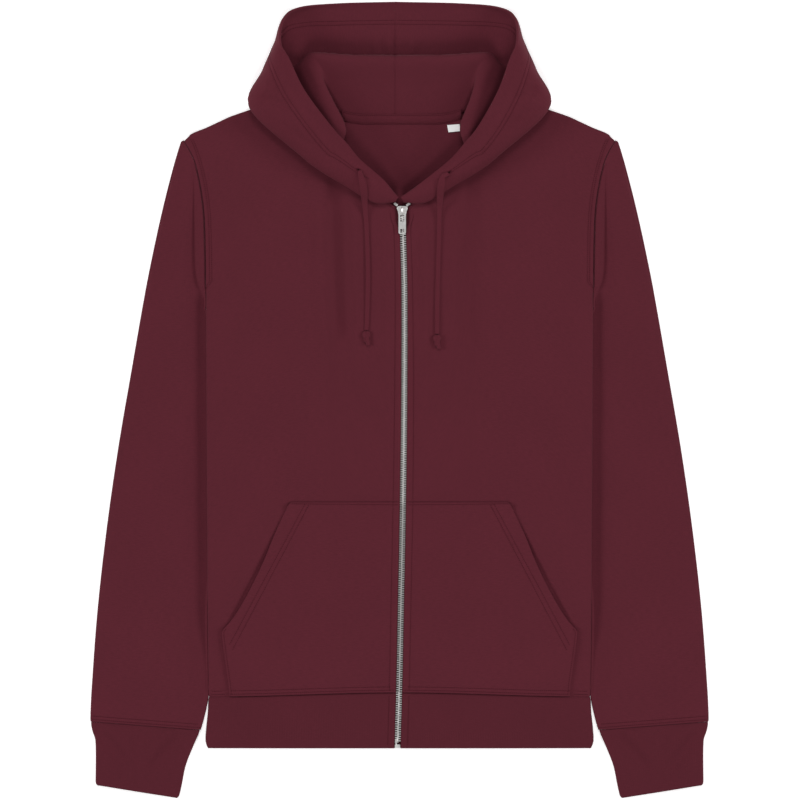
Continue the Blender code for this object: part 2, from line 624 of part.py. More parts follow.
def hood_place(side, u, v):
    """The same for either half: the right one mirrors the left, moved over to the middle seam."""
    x, y, z = hood_point(u, v)
    if side > 0.0:
        x = -x + 2.0 * CENTRE_SEAM * blend(80.0, -CENTRE_SEAM, -x) * blend(270.0, 299.0, y)
        place = u * (len(HOOD) - 1)
        x += blend(0.3, 0.05, v) * float(curve(range(len(HOOD)), EDGE_SHIFT, place))
        x += blend(0.56, 0.78, v) * blend(1.0, 0.84, v) * float(curve(range(len(HOOD)), LOBE_SHIFT, place))
    return np.array((x, y, max(z, CLOTH / 2.0 + 0.02)))


def hood_normal(side, u, v):
    step = 0.002
    along = hood_place(side, min(u + step, 1.0), v) - hood_place(side, max(u - step, 0.0), v)
    across = hood_place(side, u, min(v + step, 1.0)) - hood_place(side, u, max(v - step, 0.0))
    normal = np.cross(along, across)
    return normal / np.linalg.norm(normal)


def add_hood(name, side, finish):
    rows = [row / (HOOD_ROWS - 1) for row in range(HOOD_ROWS)]
    columns = [column / HOOD_COLUMNS[-1] for column in HOOD_COLUMNS]
    grid = [[hood_place(side, u, v) for v in columns] for u in rows]
    normals = [[hood_normal(side, u, v) for v in columns] for u in rows]
    return add_sheet(name, grid, finish, normals=normals)


#                  y      z
NECK_TAPE_ROWS = ((305.5, 6.3), (301.0, 4.9), (295.5, 2.5))
NECK_TAPE_COLUMNS = (-62.0, -56.0, -48.0, -30.0, -10.0, 10.0, 30.0, 48.0, 56.0, 66.0)
NECK_TAPE = 0.8
LABEL_CORNERS = ((51.3, 292.6), (64.2, 293.6), (65.2, 286.4), (52.6, 285.2))
LABEL = 0.5


def add_neck_tape(finish):
    """The tape over the back neck seam, inside."""
    grid = [[(x, y + max(y_at(BACK_NECK, x) - BACK_NECK[1][1], 0.0), z) for x in NECK_TAPE_COLUMNS]
            for y, z in NECK_TAPE_ROWS]
    return add_sheet("neck_tape", grid, finish, NECK_TAPE)


def add_label(finish):
    low = CLOTH + LAY
    vertices = [(x, y, z) for z in (low, low + LABEL) for x, y in LABEL_CORNERS]
    faces = [(0, 1, 2, 3), (7, 6, 5, 4), (0, 4, 5, 1), (1, 5, 6, 2), (2, 6, 7, 3), (3, 7, 4, 0)]
    return add_object("neck_label", vertices, faces, finish)


# ---- zip ----
TAPE_TOP = 212.6
BOX = 4.0                   # length of the box at the zip's lower end
BOX_HALF = 3.1
BOX_HIGH = 1.5              # half its thickness
STOP_X = 6.6                # from the zip's middle to the top stops
STOP_Y = 210.5
STOP = (1.3, 2.4, 1.6)      # half width, length, height
SLIDER_LOW = 198.0
SLIDER_HIGH = 207.6
SLIDER_HALF = 5.9
PLATE_LOW = 0.8             # the slider's lower and upper plates
PLATE_HIGH = 1.0
CHANNEL_HALF = 3.3
DIAMOND_HALF = 1.4          # half the width of the post between the plates
BRIDGE_HALF = 1.0
BRIDGE = 7.5                # length of the loop that holds the pull
BRIDGE_LEG = 1.2
PULL_Y = 203.65             # the pull's hinge line
PULL_Z = 8.3
PULL = (3.95, 27.2, 1.1)    # half width, length, thickness
PULL_TOP = 0.75             # from the hinge line to the pull's upper end
PULL_ROUND = (1.0, 2.2)     # corner radius above and below
SLOT = (2.0, 12.0, 1.5)     # half width, length, distance from the upper end
HOLE = (2.0, 3.7, 1.9)      # half width, length, distance from the lower end


def zip_levels(top, count):
    """Heights from the top of a strip down to just above the box."""
    bottom = BAND_Y + BOX + SEAM + 0.1
    return [top + (bottom - top) * i / (count - 1) for i in range(count)]


def add_tapes(finish):
    for name, side in SIDES.items():
        grid = [[(zip_x(y) + side * x, y, TAPE_Z) for x in (TAPE_INNER, TAPE_OUTER)]
                for y in zip_levels(TAPE_TOP, 14)]
        add_sheet("zip_tape_" + name, grid, finish, TAPE)


def add_chain(finish):
    grid = [[(zip_x(y) + x, y, TAPE_Z) for x in (-CHAIN_HALF, CHAIN_HALF)]
            for y in zip_levels(PULL_Y - 0.5, 19)]
    add_sheet("zip_chain", grid, finish, CHAIN)


def combine(target, other, operation):
    """Add or cut another solid, which is then removed."""
    modifier = target.modifiers.new(operation.lower(), "BOOLEAN")
    modifier.operation = operation
    modifier.object = other
    modifier.solver = "EXACT"
    bpy.context.view_layer.update()
    evaluated = target.evaluated_get(bpy.context.evaluated_depsgraph_get())
    mesh = bpy.data.meshes.new_from_object(evaluated)
    target.modifiers.clear()
    old = target.data
    target.data = mesh
    mesh.name = target.name
    bpy.data.meshes.remove(old)
    bpy.data.objects.remove(other)


def add_slider(finish):
    """Two plates around the chain, joined by the post between its halves, with the pull's bridge."""
    x = zip_x(PULL_Y)
    plate_z = TAPE_Z + CHAIN / 2.0 + SEAM
    top_z = plate_z + PLATE_HIGH
    low_z = TAPE_Z - CHAIN / 2.0 - SEAM - PLATE_LOW
    slider = add_block("zip_slider", (x - SLIDER_HALF, SLIDER_LOW, low_z),
                       (x + SLIDER_HALF, SLIDER_HIGH, top_z), finish)
    channel = add_block("channel", (x - CHANNEL_HALF, SLIDER_LOW - 1.0, low_z + PLATE_LOW),
                        (x + CHANNEL_HALF, PULL_Y, plate_z), finish)
    combine(slider, channel, "DIFFERENCE")
    slit_z = TAPE / 2.0 + SEAM
    for side in SIDES.values():
        ends = sorted((x + side * DIAMOND_HALF, x + side * (SLIDER_HALF + 2.0)))
        slit = add_block("slit", (ends[0], SLIDER_LOW - 1.0, TAPE_Z - slit_z),
                         (ends[1], SLIDER_HIGH + 1.0, TAPE_Z + slit_z), finish)
        combine(slider, slit, "DIFFERENCE")
    bridge_low = PULL_Y - 4.4
    bridge_z = PULL_Z + PULL[2] / 2.0 + 0.75
    for low_y in (bridge_low, bridge_low + BRIDGE - BRIDGE_LEG):
        leg = add_block("leg", (x - BRIDGE_HALF, low_y, top_z - 0.4),
                        (x + BRIDGE_HALF, low_y + BRIDGE_LEG, bridge_z + 0.8), finish)
        combine(slider, leg, "UNION")
    beam = add_block("beam", (x - BRIDGE_HALF, bridge_low, bridge_z),
                     (x + BRIDGE_HALF, bridge_low + BRIDGE, bridge_z + 1.0), finish)
    combine(slider, beam, "UNION")
    return slider


def add_pull(finish):
    """The pull tab: a plate with a long slot that hangs on the bridge, and a small hole near its end."""
    x = zip_x(PULL_Y)
    half, length, thick = PULL
    top = PULL_Y + PULL_TOP
    bottom = top - length
    low = PULL_Z - thick / 2.0
    corners = ((1.0, top, 0.0), (-1.0, top, 0.5), (-1.0, bottom, 1.0), (1.0, bottom, 1.5))
    outline = []
    for way, corner_y, start in corners:
        upper = corner_y == top
        radius = PULL_ROUND[0] if upper else PULL_ROUND[1]
        centre_y = corner_y - radius if upper else corner_y + radius
        for step in range(5):
            angle = math.pi * (start + step / 8.0)
            outline.append((x + way * (half - radius) + radius * math.cos(angle),
                            centre_y + radius * math.sin(angle)))
    count = len(outline)
    vertices = [(px, py, z) for z in (low, low + thick) for px, py in outline]
    faces = [tuple(range(count - 1, -1, -1)), tuple(range(count, 2 * count))]
    faces += [(i, (i + 1) % count, (i + 1) % count + count, i + count) for i in range(count)]
    pull = add_object("zip_pull", vertices, faces, finish)
    slot_top = top - SLOT[2]
    slot = add_block("slot", (x - SLOT[0], slot_top - SLOT[1], low - 1.0),
                     (x + SLOT[0], slot_top, low + thick + 1.0), finish)
    combine(pull, slot, "DIFFERENCE")
    hole_low = bottom + HOLE[2]
    hole = add_block("hole", (x - HOLE[0], hole_low, low - 1.0),
                     (x + HOLE[0], hole_low + HOLE[1], low + thick + 1.0), finish)
    combine(pull, hole, "DIFFERENCE")
    return pull


def add_stops_and_box(finish):
    half, length, height = STOP
    z = TAPE_Z + TAPE / 2.0 + SEAM
    for name, side in SIDES.items():
        x = zip_x(STOP_Y) + side * STOP_X
        add_block("zip_stop_" + name, (x - half, STOP_Y - length, z), (x + half, STOP_Y, z + height), finish)
    x = zip_x(BAND_Y)
    low = (x - BOX_HALF, BAND_Y, TAPE_Z - BOX_HIGH)
    add_block("zip_box", low, (x + BOX_HALF, BAND_Y + BOX, TAPE_Z + BOX_HIGH), finish)


# ---- drawcords ----
# Each route runs from the buttonhole in the hood's hem down over the front, points (x, y, z).
CORD_ROUTES = {
    "left": ((-44.4, 246.5, 26.2), (-41.6, 240.5, 25.0), (-39.3, 231.0, 22.9), (-38.0, 221.5, 19.4),
             (-37.2, 211.5, 13.4), (-36.5, 201.0, 10.2), (-35.6, 190.0, 9.4), (-34.6, 168.0, 9.3),
             (-34.0, 148.0, 9.3), (-33.8, 128.0, 9.3), (-34.2, 105.0, 9.3), (-34.9, 85.0, 9.3),
             (-35.6, 74.5, 9.3)),
    "right": ((50.6, 246.5, 26.2), (46.6, 238.5, 24.7), (44.3, 228.0, 22.1), (43.3, 217.0, 16.2),
              (42.8, 206.0, 11.2), (42.5, 195.0, 9.5), (42.3, 184.0, 9.3), (41.9, 165.0, 9.3),
              (41.3, 145.0, 9.3), (40.8, 125.0, 9.3), (40.4, 100.0, 9.3), (40.2, 80.0, 9.3),
              (40.1, 70.5, 9.3)),
}
CORD_POINTS = 26
KNOT = (4.4, 7.2, 2.6)      # half width, half length, half height


def cord_path(route, count):
    """Points along a smooth curve through a route."""
    points = [np.array(p, float) for p in route]
    keys = [0.0]
    for before, after in zip(points, points[1:]):
        keys.append(keys[-1] + float(np.linalg.norm(after - before)))
    return [curve(keys, points, keys[-1] * i / (count - 1)) for i in range(count)]


def add_cord(name, route, finish):
    data = bpy.data.curves.new(name, "CURVE")
    data.dimensions = "3D"
    data.bevel_depth = CORD_RADIUS * MM
    data.bevel_resolution = 2
    data.use_fill_caps = True
    path = cord_path(route, CORD_POINTS)
    spline = data.splines.new("POLY")
    spline.points.add(len(path) - 1)
    for point, place in zip(spline.points, path):
        point.co = (*(float(c) * MM for c in place), 1.0)
    data.materials.append(finish)
    made = bpy.data.objects.new(name, data)
    bpy.context.scene.collection.objects.link(made)
    return made


def add_knot(name, route, finish):
    """The knotted end of a drawcord: a small egg of wound cord."""
    x, y, z = route[-1]
    radii = KNOT
    middle = (x, y - radii[1] - SEAM, z)
    rings = 7
    around = 10
    vertices = [(middle[0], middle[1] + radii[1], middle[2])]
    for ring in range(1, rings):
        tilt = math.pi * ring / rings
        for turn in range(around):
            angle = 2.0 * math.pi * turn / around
            vertices.append((middle[0] + radii[0] * math.sin(tilt) * math.cos(angle),
                             middle[1] + radii[1] * math.cos(tilt),
                             middle[2] + radii[2] * math.sin(tilt) * math.sin(angle)))
    vertices.append((middle[0], middle[1] - radii[1], middle[2]))
    faces = []
    for turn in range(around):
        after = (turn + 1) % around
        faces.append((0, 1 + after, 1 + turn))
        for ring in range(rings - 2):
            a = 1 + ring * around
            b = a + around
            faces.append((a + turn, a + after, b + after, b + turn))
        last = 1 + (rings - 2) * around
        faces.append((last + turn, last + after, len(vertices) - 1))
    return add_object(name, vertices, faces, finish)


def main():
    for old in list(bpy.data.objects):
        bpy.data.objects.remove(old)
    cloth = make_material("burgundy fleece", (0.098, 0.019, 0.028), 0.9)
    rib = make_material("burgundy rib", (0.092, 0.018, 0.026), 0.9)
    tape = make_material("zip tape", (0.07, 0.015, 0.02), 0.85)
    metal = make_material("nickel", (0.62, 0.61, 0.6), 0.35, 1.0)
    white = make_material("white label", (0.85, 0.85, 0.85), 0.7)
    add_back(cloth)
    add_band(rib)
    for name, side in SIDES.items():
        add_front("front_" + name, side, cloth)
        add_sleeve("sleeve_" + name, side, cloth)
        add_cuff("cuff_" + name, side, rib)
        add_pocket("pocket_" + name, side, cloth)
        add_hood("hood_" + name, side, cloth)
        add_cord("drawcord_" + name, CORD_ROUTES[name], cloth)
        add_knot("cord_knot_" + name, CORD_ROUTES[name], cloth)
    add_neck_tape(tape)
    add_label(white)
    add_tapes(tape)
    add_chain(metal)
    add_slider(metal)
    add_pull(metal)
    add_stops_and_box(metal)


main()
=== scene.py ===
"""The looks of a zip-up hoodie laid flat: cloth shells with creases and hems, sewing, zip and drawcords.

X runs across the garment, Y from the hem to the hood and Z up from the surface that it lies on.
Tables and shape functions are in millimetres; points become metres when a mesh is made.
"""
import json
import math

import bpy
import numpy as np
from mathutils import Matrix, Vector

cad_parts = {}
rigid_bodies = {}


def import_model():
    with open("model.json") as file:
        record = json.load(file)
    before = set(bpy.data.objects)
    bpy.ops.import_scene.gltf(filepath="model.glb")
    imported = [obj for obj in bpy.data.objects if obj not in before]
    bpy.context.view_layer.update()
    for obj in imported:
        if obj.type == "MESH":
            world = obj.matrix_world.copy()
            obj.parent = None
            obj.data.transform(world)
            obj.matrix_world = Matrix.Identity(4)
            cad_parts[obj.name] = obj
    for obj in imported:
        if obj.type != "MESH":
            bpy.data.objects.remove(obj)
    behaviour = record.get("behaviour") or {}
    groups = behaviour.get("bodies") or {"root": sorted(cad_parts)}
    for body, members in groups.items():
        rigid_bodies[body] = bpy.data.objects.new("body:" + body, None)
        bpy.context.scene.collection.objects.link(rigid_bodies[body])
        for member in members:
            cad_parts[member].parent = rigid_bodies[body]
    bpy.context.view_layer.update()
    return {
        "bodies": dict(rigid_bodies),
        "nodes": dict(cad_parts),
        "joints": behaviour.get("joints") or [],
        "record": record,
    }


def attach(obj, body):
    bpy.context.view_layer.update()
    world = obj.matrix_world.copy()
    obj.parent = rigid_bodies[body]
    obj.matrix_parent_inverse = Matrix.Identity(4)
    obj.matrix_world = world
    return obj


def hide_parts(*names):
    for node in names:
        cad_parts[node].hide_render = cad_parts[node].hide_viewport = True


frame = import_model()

MM = 0.001
SIDES = {"left": -1.0, "right": 1.0}

# ---- sizes that the cloth and its solids share ----
CLOTH = 1.5                 # wall of sweatshirt cloth
SEAM = 0.3                  # between two pieces at a seam
LAY = 0.5                   # between a piece and the cloth that it lies on
BODY_GAP = 3.8              # hollow between front and back in the middle of the body
EDGE_GAP = 2.0              # the same at the side fold
SHOULDER_GAP = 0.6          # the same along the shoulder seam
SLEEVE_GAP = 4.6            # hollow in the middle of a sleeve
CUFF_GAP = 2.4              # hollow in the middle of a cuff
TUCKED_GAP = 1.3            # hollow where the sleeve runs under the body
RETURN = 64.0               # cloth of each front turned under at the side
SHORT_RETURN = 1.2          # the same beside the armhole seam
SHOULDER_DROP = 75.0        # the body's hollow opens over this depth below the shoulder
ZIP_EDGE = 3.7              # from the zip's middle to the edge of a front
ZIP_EDGE_TOP = 7.3          # the same beside the slider
TAPE = 0.7                  # zip tape thickness
BAND_Y = -372.5             # lower edge of the hem band
HEM_Y = -313.0              # hem seam at the zip
HEM_DROP = 4.5              # the seam is this much lower at the sides
ARMHOLE_END = 124.0         # the armhole seam goes under the side fold below this
TUCK_START = 98.0           # below this the sleeve can lie under the body
TUCK_FULL = 40.0            # below this the front's return has its full width
FOLD_TOP = 130.0            # the side of the body starts to close below this
ARMPIT_LOW = 90.0           # below this the sections change slowly
SLEEVE_END = -344.0         # the sleeve's outer end, at the cuff seam
CENTRE_SEAM = -4.9          # the hood's middle seam lies a little to the left
POCKET_LAY = 0.8            # clearance of a pocket over the front

# Outlines of the right half, +X; the left half mirrors them.
#            y       x
ARMHOLE = ((277.0, 231.0), (267.5, 225.0), (253.5, 218.8), (225.0, 212.4), (198.0, 209.2),
           (166.0, 208.1), (129.5, 207.6), (107.0, 207.0))
SIDE = ((107.0, 207.0), (-100.0, 206.0), (-317.0, 204.5))
BAND_SIDE = ((-317.0, 204.5), (-334.0, 205.2), (-350.0, 206.9), (-366.0, 207.6), (-372.5, 205.0))
SLEEVE_OUTER = ((276.0, 233.4), (267.5, 236.2), (246.0, 242.4), (203.0, 253.2), (160.5, 262.6),
                (117.5, 271.2), (32.0, 286.2), (-53.5, 300.8), (-139.0, 313.0), (-224.5, 322.6),
                (-310.0, 329.0), (SLEEVE_END, 330.6))
TUCKED_EDGE = ((98.0, 207.6), (TUCK_FULL, 184.0), (-53.0, 178.0), (-130.0, 190.0), (-190.0, 202.8),
               (-218.0, 205.5), (-300.0, 204.95), (-319.0, 205.2), (-353.0, 213.0))
CUFF_OUTER = ((-344.5, 330.0), (-354.0, 328.0), (-364.0, 324.8), (-412.0, 324.6))
CUFF_INNER = ((-353.3, 214.0), (-369.0, 221.0), (-390.5, 229.5), (-412.0, 234.0), (-425.5, 237.0))
POCKET_SIDE = ((-109.5, 116.0), (-112.0, 118.5), (-146.0, 134.6), (-171.0, 144.6), (-196.0, 156.4),
               (-221.0, 170.0), (-236.0, 180.0), (-245.0, 188.0), (-249.0, 190.0), (-314.0, 181.5))
#             x      y
BACK_NECK = ((0.0, 300.5), (40.0, 301.5), (60.0, 305.0), (75.0, 312.0), (87.0, 323.0))
FRONT_NECK = ((3.0, 206.5), (12.0, 212.0), (24.0, 218.0), (38.0, 229.0), (53.0, 241.5), (68.0, 258.5),
              (78.5, 280.0), (87.0, 323.0))
SHOULDER = ((87.0, 323.0), (138.5, 316.5), (179.0, 304.0), (193.5, 297.5), (207.5, 291.0),
            (223.0, 284.5), (231.0, 277.0))
#             y      x of the zip's middle, which wanders a little
ZIP_LINE = ((212.0, 2.6), (171.0, 3.9), (118.0, 5.2), (0.0, 5.0), (-107.0, 3.7), (-214.0, 1.6),
            (-310.0, -0.4), (BAND_Y, -2.2))


# ---- curves and blends, for one value or an array ----
def blend(start, end, value):
    """0 at start, 1 at end, smooth between them and level outside. start may be the greater."""
    share = np.clip((np.asarray(value, float) - start) / (end - start), 0.0, 1.0)
    return share * share * (3.0 - 2.0 * share)


def blend_at(start, end, value):
    """blend at a single value, as a plain number."""
    return float(blend(start, end, value))


def hermite(first, second, slope_first, slope_second, t, step):
    """The cubic between two values with given slopes, at a share t of the step between their keys."""
    ahead = t * t * (3.0 - 2.0 * t)
    out = first * (1.0 - ahead) + second * ahead
    return out + slope_first * step * t * (1.0 - t) ** 2 - slope_second * step * t * t * (1.0 - t)


def slopes_at(keys, points):
    """The slope of a smooth line at each of its points."""
    order = np.arange(len(keys))
    before = np.maximum(order - 1, 0)
    after = np.minimum(order + 1, len(keys) - 1)
    span = (keys[after] - keys[before]).reshape((-1,) + (1,) * (points.ndim - 1))
    return (points[after] - points[before]) / span


def curve(keys, values, key):
    """The value at each key on a smooth line through (key, value) pairs, the keys rising."""
    keys = np.asarray(keys, float)
    points = np.asarray(values, float)
    key = np.clip(np.asarray(key, float), keys[0], keys[-1])
    index = np.clip(np.searchsorted(keys, key, side="right") - 1, 0, len(keys) - 2)
    step = keys[index + 1] - keys[index]
    t = (key - keys[index]) / step
    if points.ndim > 1:
        t = t[..., None]
        step = step[..., None]
    slopes = slopes_at(keys, points)
    return hermite(points[index], points[index + 1], slopes[index], slopes[index + 1], t, step)


def x_at(table, y):
    """x of an outline, given as rows of (y, x) with y falling, at the height y."""
    return curve([-row[0] for row in table], [row[1] for row in table], -np.asarray(y, float))


def y_at(table, x):
    """y of a top edge, given as rows of (x, y) with x rising, at the distance x from the middle."""
    return curve([row[0] for row in table], [row[1] for row in table], np.abs(x))


def bell(distance, width):
    """1 on a line, falling smoothly to 0 a little over a width away from it."""
    return np.exp(-(np.asarray(distance) / width) ** 2)


def zip_x(y):
    return x_at(ZIP_LINE, y)


def zip_edge(side, y):
    """x of a front's edge at the zip. It draws back beside the slider."""
    return zip_x(y) + side * (ZIP_EDGE + (ZIP_EDGE_TOP - ZIP_EDGE) * blend(180.0, 193.0, y))


def side_x(y):
    """Half the width of the body: at the armhole seam above, at the side fold below."""
    y = np.asarray(y, float)
    low = np.where(y > SIDE[-1][0], x_at(SIDE, y), x_at(BAND_SIDE, y))
    return np.where(y > ARMHOLE[-1][0], x_at(ARMHOLE, y), low)


def hem_y(x):
    return HEM_Y - HEM_DROP * blend(0.0, 205.0, np.abs(x))


TUCKED_TOP = 2.0 * CLOTH + TUCKED_GAP       # top of a sleeve under the body
TAPE_Z = 2.0 * CLOTH + BODY_GAP - CLOTH - SEAM - TAPE / 2.0     # middle of the zip tapes
LIFT_LOW = (-300.0, -212.0)     # the sleeves come out from under the body between these heights
LIFT_IN = (82.0, 172.0)         # and hold it up from the first of these distances out to the second
EDGE_IN = (120.0, 190.0)        # the hollow narrows towards the side fold over this width


def under_lift(x, y):
    """How far the sleeves that run under the body's sides hold its lower layer up."""
    along = blend(FOLD_TOP, TUCK_START + 2.0, y) * blend(*LIFT_LOW, y)
    return (TUCKED_TOP + LAY) * along * blend(*LIFT_IN, np.abs(x))


def body_gap(x, y):
    """The hollow between the lower and the upper layer of the body."""
    shoulder = np.where(np.abs(x) > SHOULDER[0][0], y_at(SHOULDER, x), SHOULDER[0][1])
    middle = SHOULDER_GAP + (BODY_GAP - SHOULDER_GAP) * blend(0.0, SHOULDER_DROP, shoulder - y)
    folded = blend(FOLD_TOP, TUCK_START, y) * blend(*EDGE_IN, np.abs(x))
    return middle + (EDGE_GAP - middle) * folded


def back_mid(x, y):
    """Height of the middle of the back's cloth."""
    return under_lift(x, y) + CLOTH / 2.0


def front_mid(x, y):
    """Height of the middle of a front's cloth."""
    return under_lift(x, y) + CLOTH + body_gap(x, y) + CLOTH / 2.0


# ---- camera ----
FRAME_WIDTH = 0.856         # of the floor across the picture
LENS = 240.0
SENSOR = 36.0
FOCUS_Z = 0.006
PICTURE_CENTRE = (0.0005, 0.0)


def add_camera():
    data = bpy.data.cameras.new("camera")
    data.lens = LENS
    data.sensor_width = SENSOR
    distance = FRAME_WIDTH * LENS / SENSOR
    data.clip_end = 4.0 * distance
    camera = bpy.data.objects.new("camera", data)
    camera.location = (*PICTURE_CENTRE, distance + FOCUS_Z)
    bpy.context.scene.collection.objects.link(camera)
    bpy.context.scene.camera = camera


# ---- cords ----
# Each route runs from the buttonhole in the hood's hem down over the front, points (x, y, z).
CORD_ROUTES = {
    "left": ((-44.4, 246.5, 26.2), (-41.6, 240.5, 25.0), (-39.3, 231.0, 22.9), (-38.0, 221.5, 19.4),
             (-37.2, 211.5, 13.4), (-36.5, 201.0, 10.2), (-35.6, 190.0, 9.4), (-34.6, 168.0, 9.3),
             (-34.0, 148.0, 9.3), (-33.8, 128.0, 9.3), (-34.2, 105.0, 9.3), (-34.9, 85.0, 9.3),
             (-35.6, 74.5, 9.3)),
    "right": ((50.6, 246.5, 26.2), (46.6, 238.5, 24.7), (44.3, 228.0, 22.1), (43.3, 217.0, 16.2),
              (42.8, 206.0, 11.2), (42.5, 195.0, 9.5), (42.3, 184.0, 9.3), (41.9, 165.0, 9.3),
              (41.3, 145.0, 9.3), (40.8, 125.0, 9.3), (40.4, 100.0, 9.3), (40.2, 80.0, 9.3),
              (40.1, 70.5, 9.3)),
}
CORD_HALF_THICK = 0.75
# Each cord's two points below the buttonhole, where it turns down into the hem.
CORD_INSIDE = {"left": ((-42.7, 246.0, 21.4), (-42.3, 244.6, 24.8)),
               "right": ((52.7, 242.9, 21.2), (51.6, 241.5, 24.6))}
CORD_DROP = 1.6             # the folded braid lies this much below its route's line
#             share of the length, half width
CORD_HALVES = ((0.0, 2.0), (0.04, 2.5), (0.09, 3.9), (0.16, 3.8), (0.25, 2.9), (0.36, 2.4), (0.6, 2.35),
               (0.85, 2.45), (1.0, 2.2))
CORD_RINGS = 160
CORD_AROUND = 20
CORD_GROOVE = 0.25          # depth of the groove along the middle of the braid
GROOVE_SHARE = 0.45         # its width, as a share of the cord's half width
SQUARED = 0.8               # power under 1, which makes an oval section a little squarer

KNOT = (4.4, 7.4, 2.3)      # half width, half length and half height of the knot's space
KNOT_CORD = 1.9             # radius of the cord where it is knotted
KNOT_LAP = 1.2              # the cord runs this far into its knot
KNOT_RISE = 0.9             # share of the knot's height that its middle line takes
KNOT_POINTS = 90
# The cut end below a knot: x and z from the cord's last point, y from the knot's middle.
TAIL = ((0.6, -1.0, -0.6), (1.5, -5.0, -0.8), (2.2, -9.6, -0.9))
TAIL_HALVES = (2.1, 1.2)
TAIL_RINGS = 14


def lengths_along(points):
    steps = np.linalg.norm(np.diff(points, axis=0), axis=1)
    return np.concatenate(([0.0], np.cumsum(steps)))


def smooth_path(route, count):
    """Points along a smooth curve through a route."""
    points = np.array(route, float)
    keys = lengths_along(points)
    return curve(keys, points, np.linspace(0.0, keys[-1], count))


def unit(vectors):
    return vectors / np.maximum(np.linalg.norm(vectors, axis=-1, keepdims=True), 1e-9)


def add_mesh(name, vertices, faces, finish, flat=False):
    """An object from points in millimetres."""
    mesh = bpy.data.meshes.new(name)
    mesh.from_pydata((np.asarray(vertices, float) * MM).tolist(), [], faces)
    if flat:
        mesh.shade_flat()
    else:
        mesh.shade_smooth()
    mesh.materials.append(finish)
    made = bpy.data.objects.new(name, mesh)
    bpy.context.scene.collection.objects.link(made)
    return made


def store_cloth_places(made, places):
    """Keeps each vertex's place on the cloth, in metres, for its grain."""
    layer = made.data.attributes.new("cloth", "FLOAT_VECTOR", "POINT")
    flat = np.zeros((len(made.data.vertices), 3))
    flat[:, :2] = np.asarray(places).reshape(-1, 2) * MM
    layer.data.foreach_set("vector", flat.ravel())


def tube_faces(rings, around, first=0):
    """Quads between rings of points, and one face on each end."""
    faces = []
    for ring in range(rings - 1):
        for turn in range(around):
            a = first + ring * around + turn
            b = first + ring * around + (turn + 1) % around
            faces.append((a, b, b + around, a + around))
    faces.append(tuple(first + i for i in reversed(range(around))))
    faces.append(tuple(first + (rings - 1) * around + i for i in range(around)))
    return faces


def add_tube(name, path, halves, finish, groove=0.0):
    """A tube along a path. halves gives (across, thick) at each point; a groove runs along its top."""
    along = unit(np.gradient(path, axis=0))
    across = unit(np.cross(along, (0.0, 0.0, 1.0)))
    upward = np.cross(across, along)
    angles = 2.0 * math.pi * np.arange(CORD_AROUND) / CORD_AROUND
    cosines, sines = np.cos(angles), np.sin(angles)
    vertices = []
    places = []
    for i, (place, reach) in enumerate(zip(path, lengths_along(path))):
        wide, thick = halves[i]
        flat = np.sign(cosines) * np.abs(cosines) ** SQUARED * wide
        high = np.sign(sines) * np.abs(sines) ** SQUARED * thick
        high = high - groove * bell(flat, GROOVE_SHARE * wide) * (sines > 0.0)
        vertices.append(place + across[i] * flat[:, None] + upward[i] * high[:, None])
        around = angles / (2.0 * math.pi) * 4.0 * wide
        places.append(np.stack((around, np.full(CORD_AROUND, reach)), axis=1))
    made = add_mesh(name, np.concatenate(vertices), tube_faces(len(path), CORD_AROUND), finish)
    store_cloth_places(made, np.concatenate(places))
    return made


def knot_path(middle):
    """An overhand knot, longer than wide and pulled flat."""
    t = np.linspace(0.0, 2.0 * math.pi, KNOT_POINTS)
    x = (np.sin(t) + 2.0 * np.sin(2.0 * t)) / 3.0
    y = (np.cos(t) - 2.0 * np.cos(2.0 * t)) / 3.0
    z = -np.sin(3.0 * t)
    inner = np.array(KNOT) - KNOT_CORD
    return np.stack((x * inner[0], y * inner[1], z * inner[2] * KNOT_RISE), axis=1) + np.array(middle)


def add_cord(name, route, finish):
    """A drawcord's free end from its buttonhole down, the knot in it, and the cut end below the knot."""
    path = smooth_path(CORD_INSIDE[name] + route[1:], CORD_RINGS) - (0.0, 0.0, CORD_DROP)
    shares, widths = zip(*CORD_HALVES)
    wide = curve(shares, widths, np.linspace(0.0, 1.0, CORD_RINGS))
    halves = np.stack((wide, np.full(CORD_RINGS, CORD_HALF_THICK)), axis=1)
    cord = add_tube("cord_" + name, path, halves, finish, CORD_GROOVE)
    x, y, z = route[-1]
    middle = (x, y - KNOT[1] + KNOT_LAP, z - CORD_DROP)
    knot = add_tube("knot_" + name, knot_path(middle), np.full((KNOT_POINTS, 2), KNOT_CORD), finish)
    tail_path = smooth_path([(x + dx, middle[1] + dy, z + dz) for dx, dy, dz in TAIL], TAIL_RINGS)
    tail = add_tube("cord_end_" + name, tail_path, np.tile(TAIL_HALVES, (TAIL_RINGS, 1)), finish)
    for piece in (cord, knot, tail):
        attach(piece, "garment")
    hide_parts("drawcord_" + name)
    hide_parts("cord_knot_" + name)
    float(lengths_along(path)[-1]) * MM


# ---- materials ----
FLEECE = (0.0900, 0.0128, 0.0221)
RIB_KNIT = (0.0815, 0.0113, 0.0196)
BRAID = (0.092, 0.0135, 0.0230)
WOVEN_TAPE = (0.070, 0.0098, 0.0165)
# sewing thread, darker than the cloth: partly the thread's own colour, partly painted shade of the dimples
# that stitches pull into the cloth
THREAD_AND_PAINTED_SHADE = (0.060, 0.0076, 0.0134)
RIM_THREAD = (0.070, 0.0095, 0.0165)
# painted shade: the near-black sheet set inside each buttonhole slit
SLIT_SHADE = (0.012, 0.0016, 0.0028)
NICKEL = (0.95, 0.94, 0.92)
TOOTH_NICKEL = (0.96, 0.95, 0.93)
LABEL_WHITE = (0.88, 0.88, 0.87)
SHEEN_TINT = (0.75, 0.45, 0.5, 1.0)

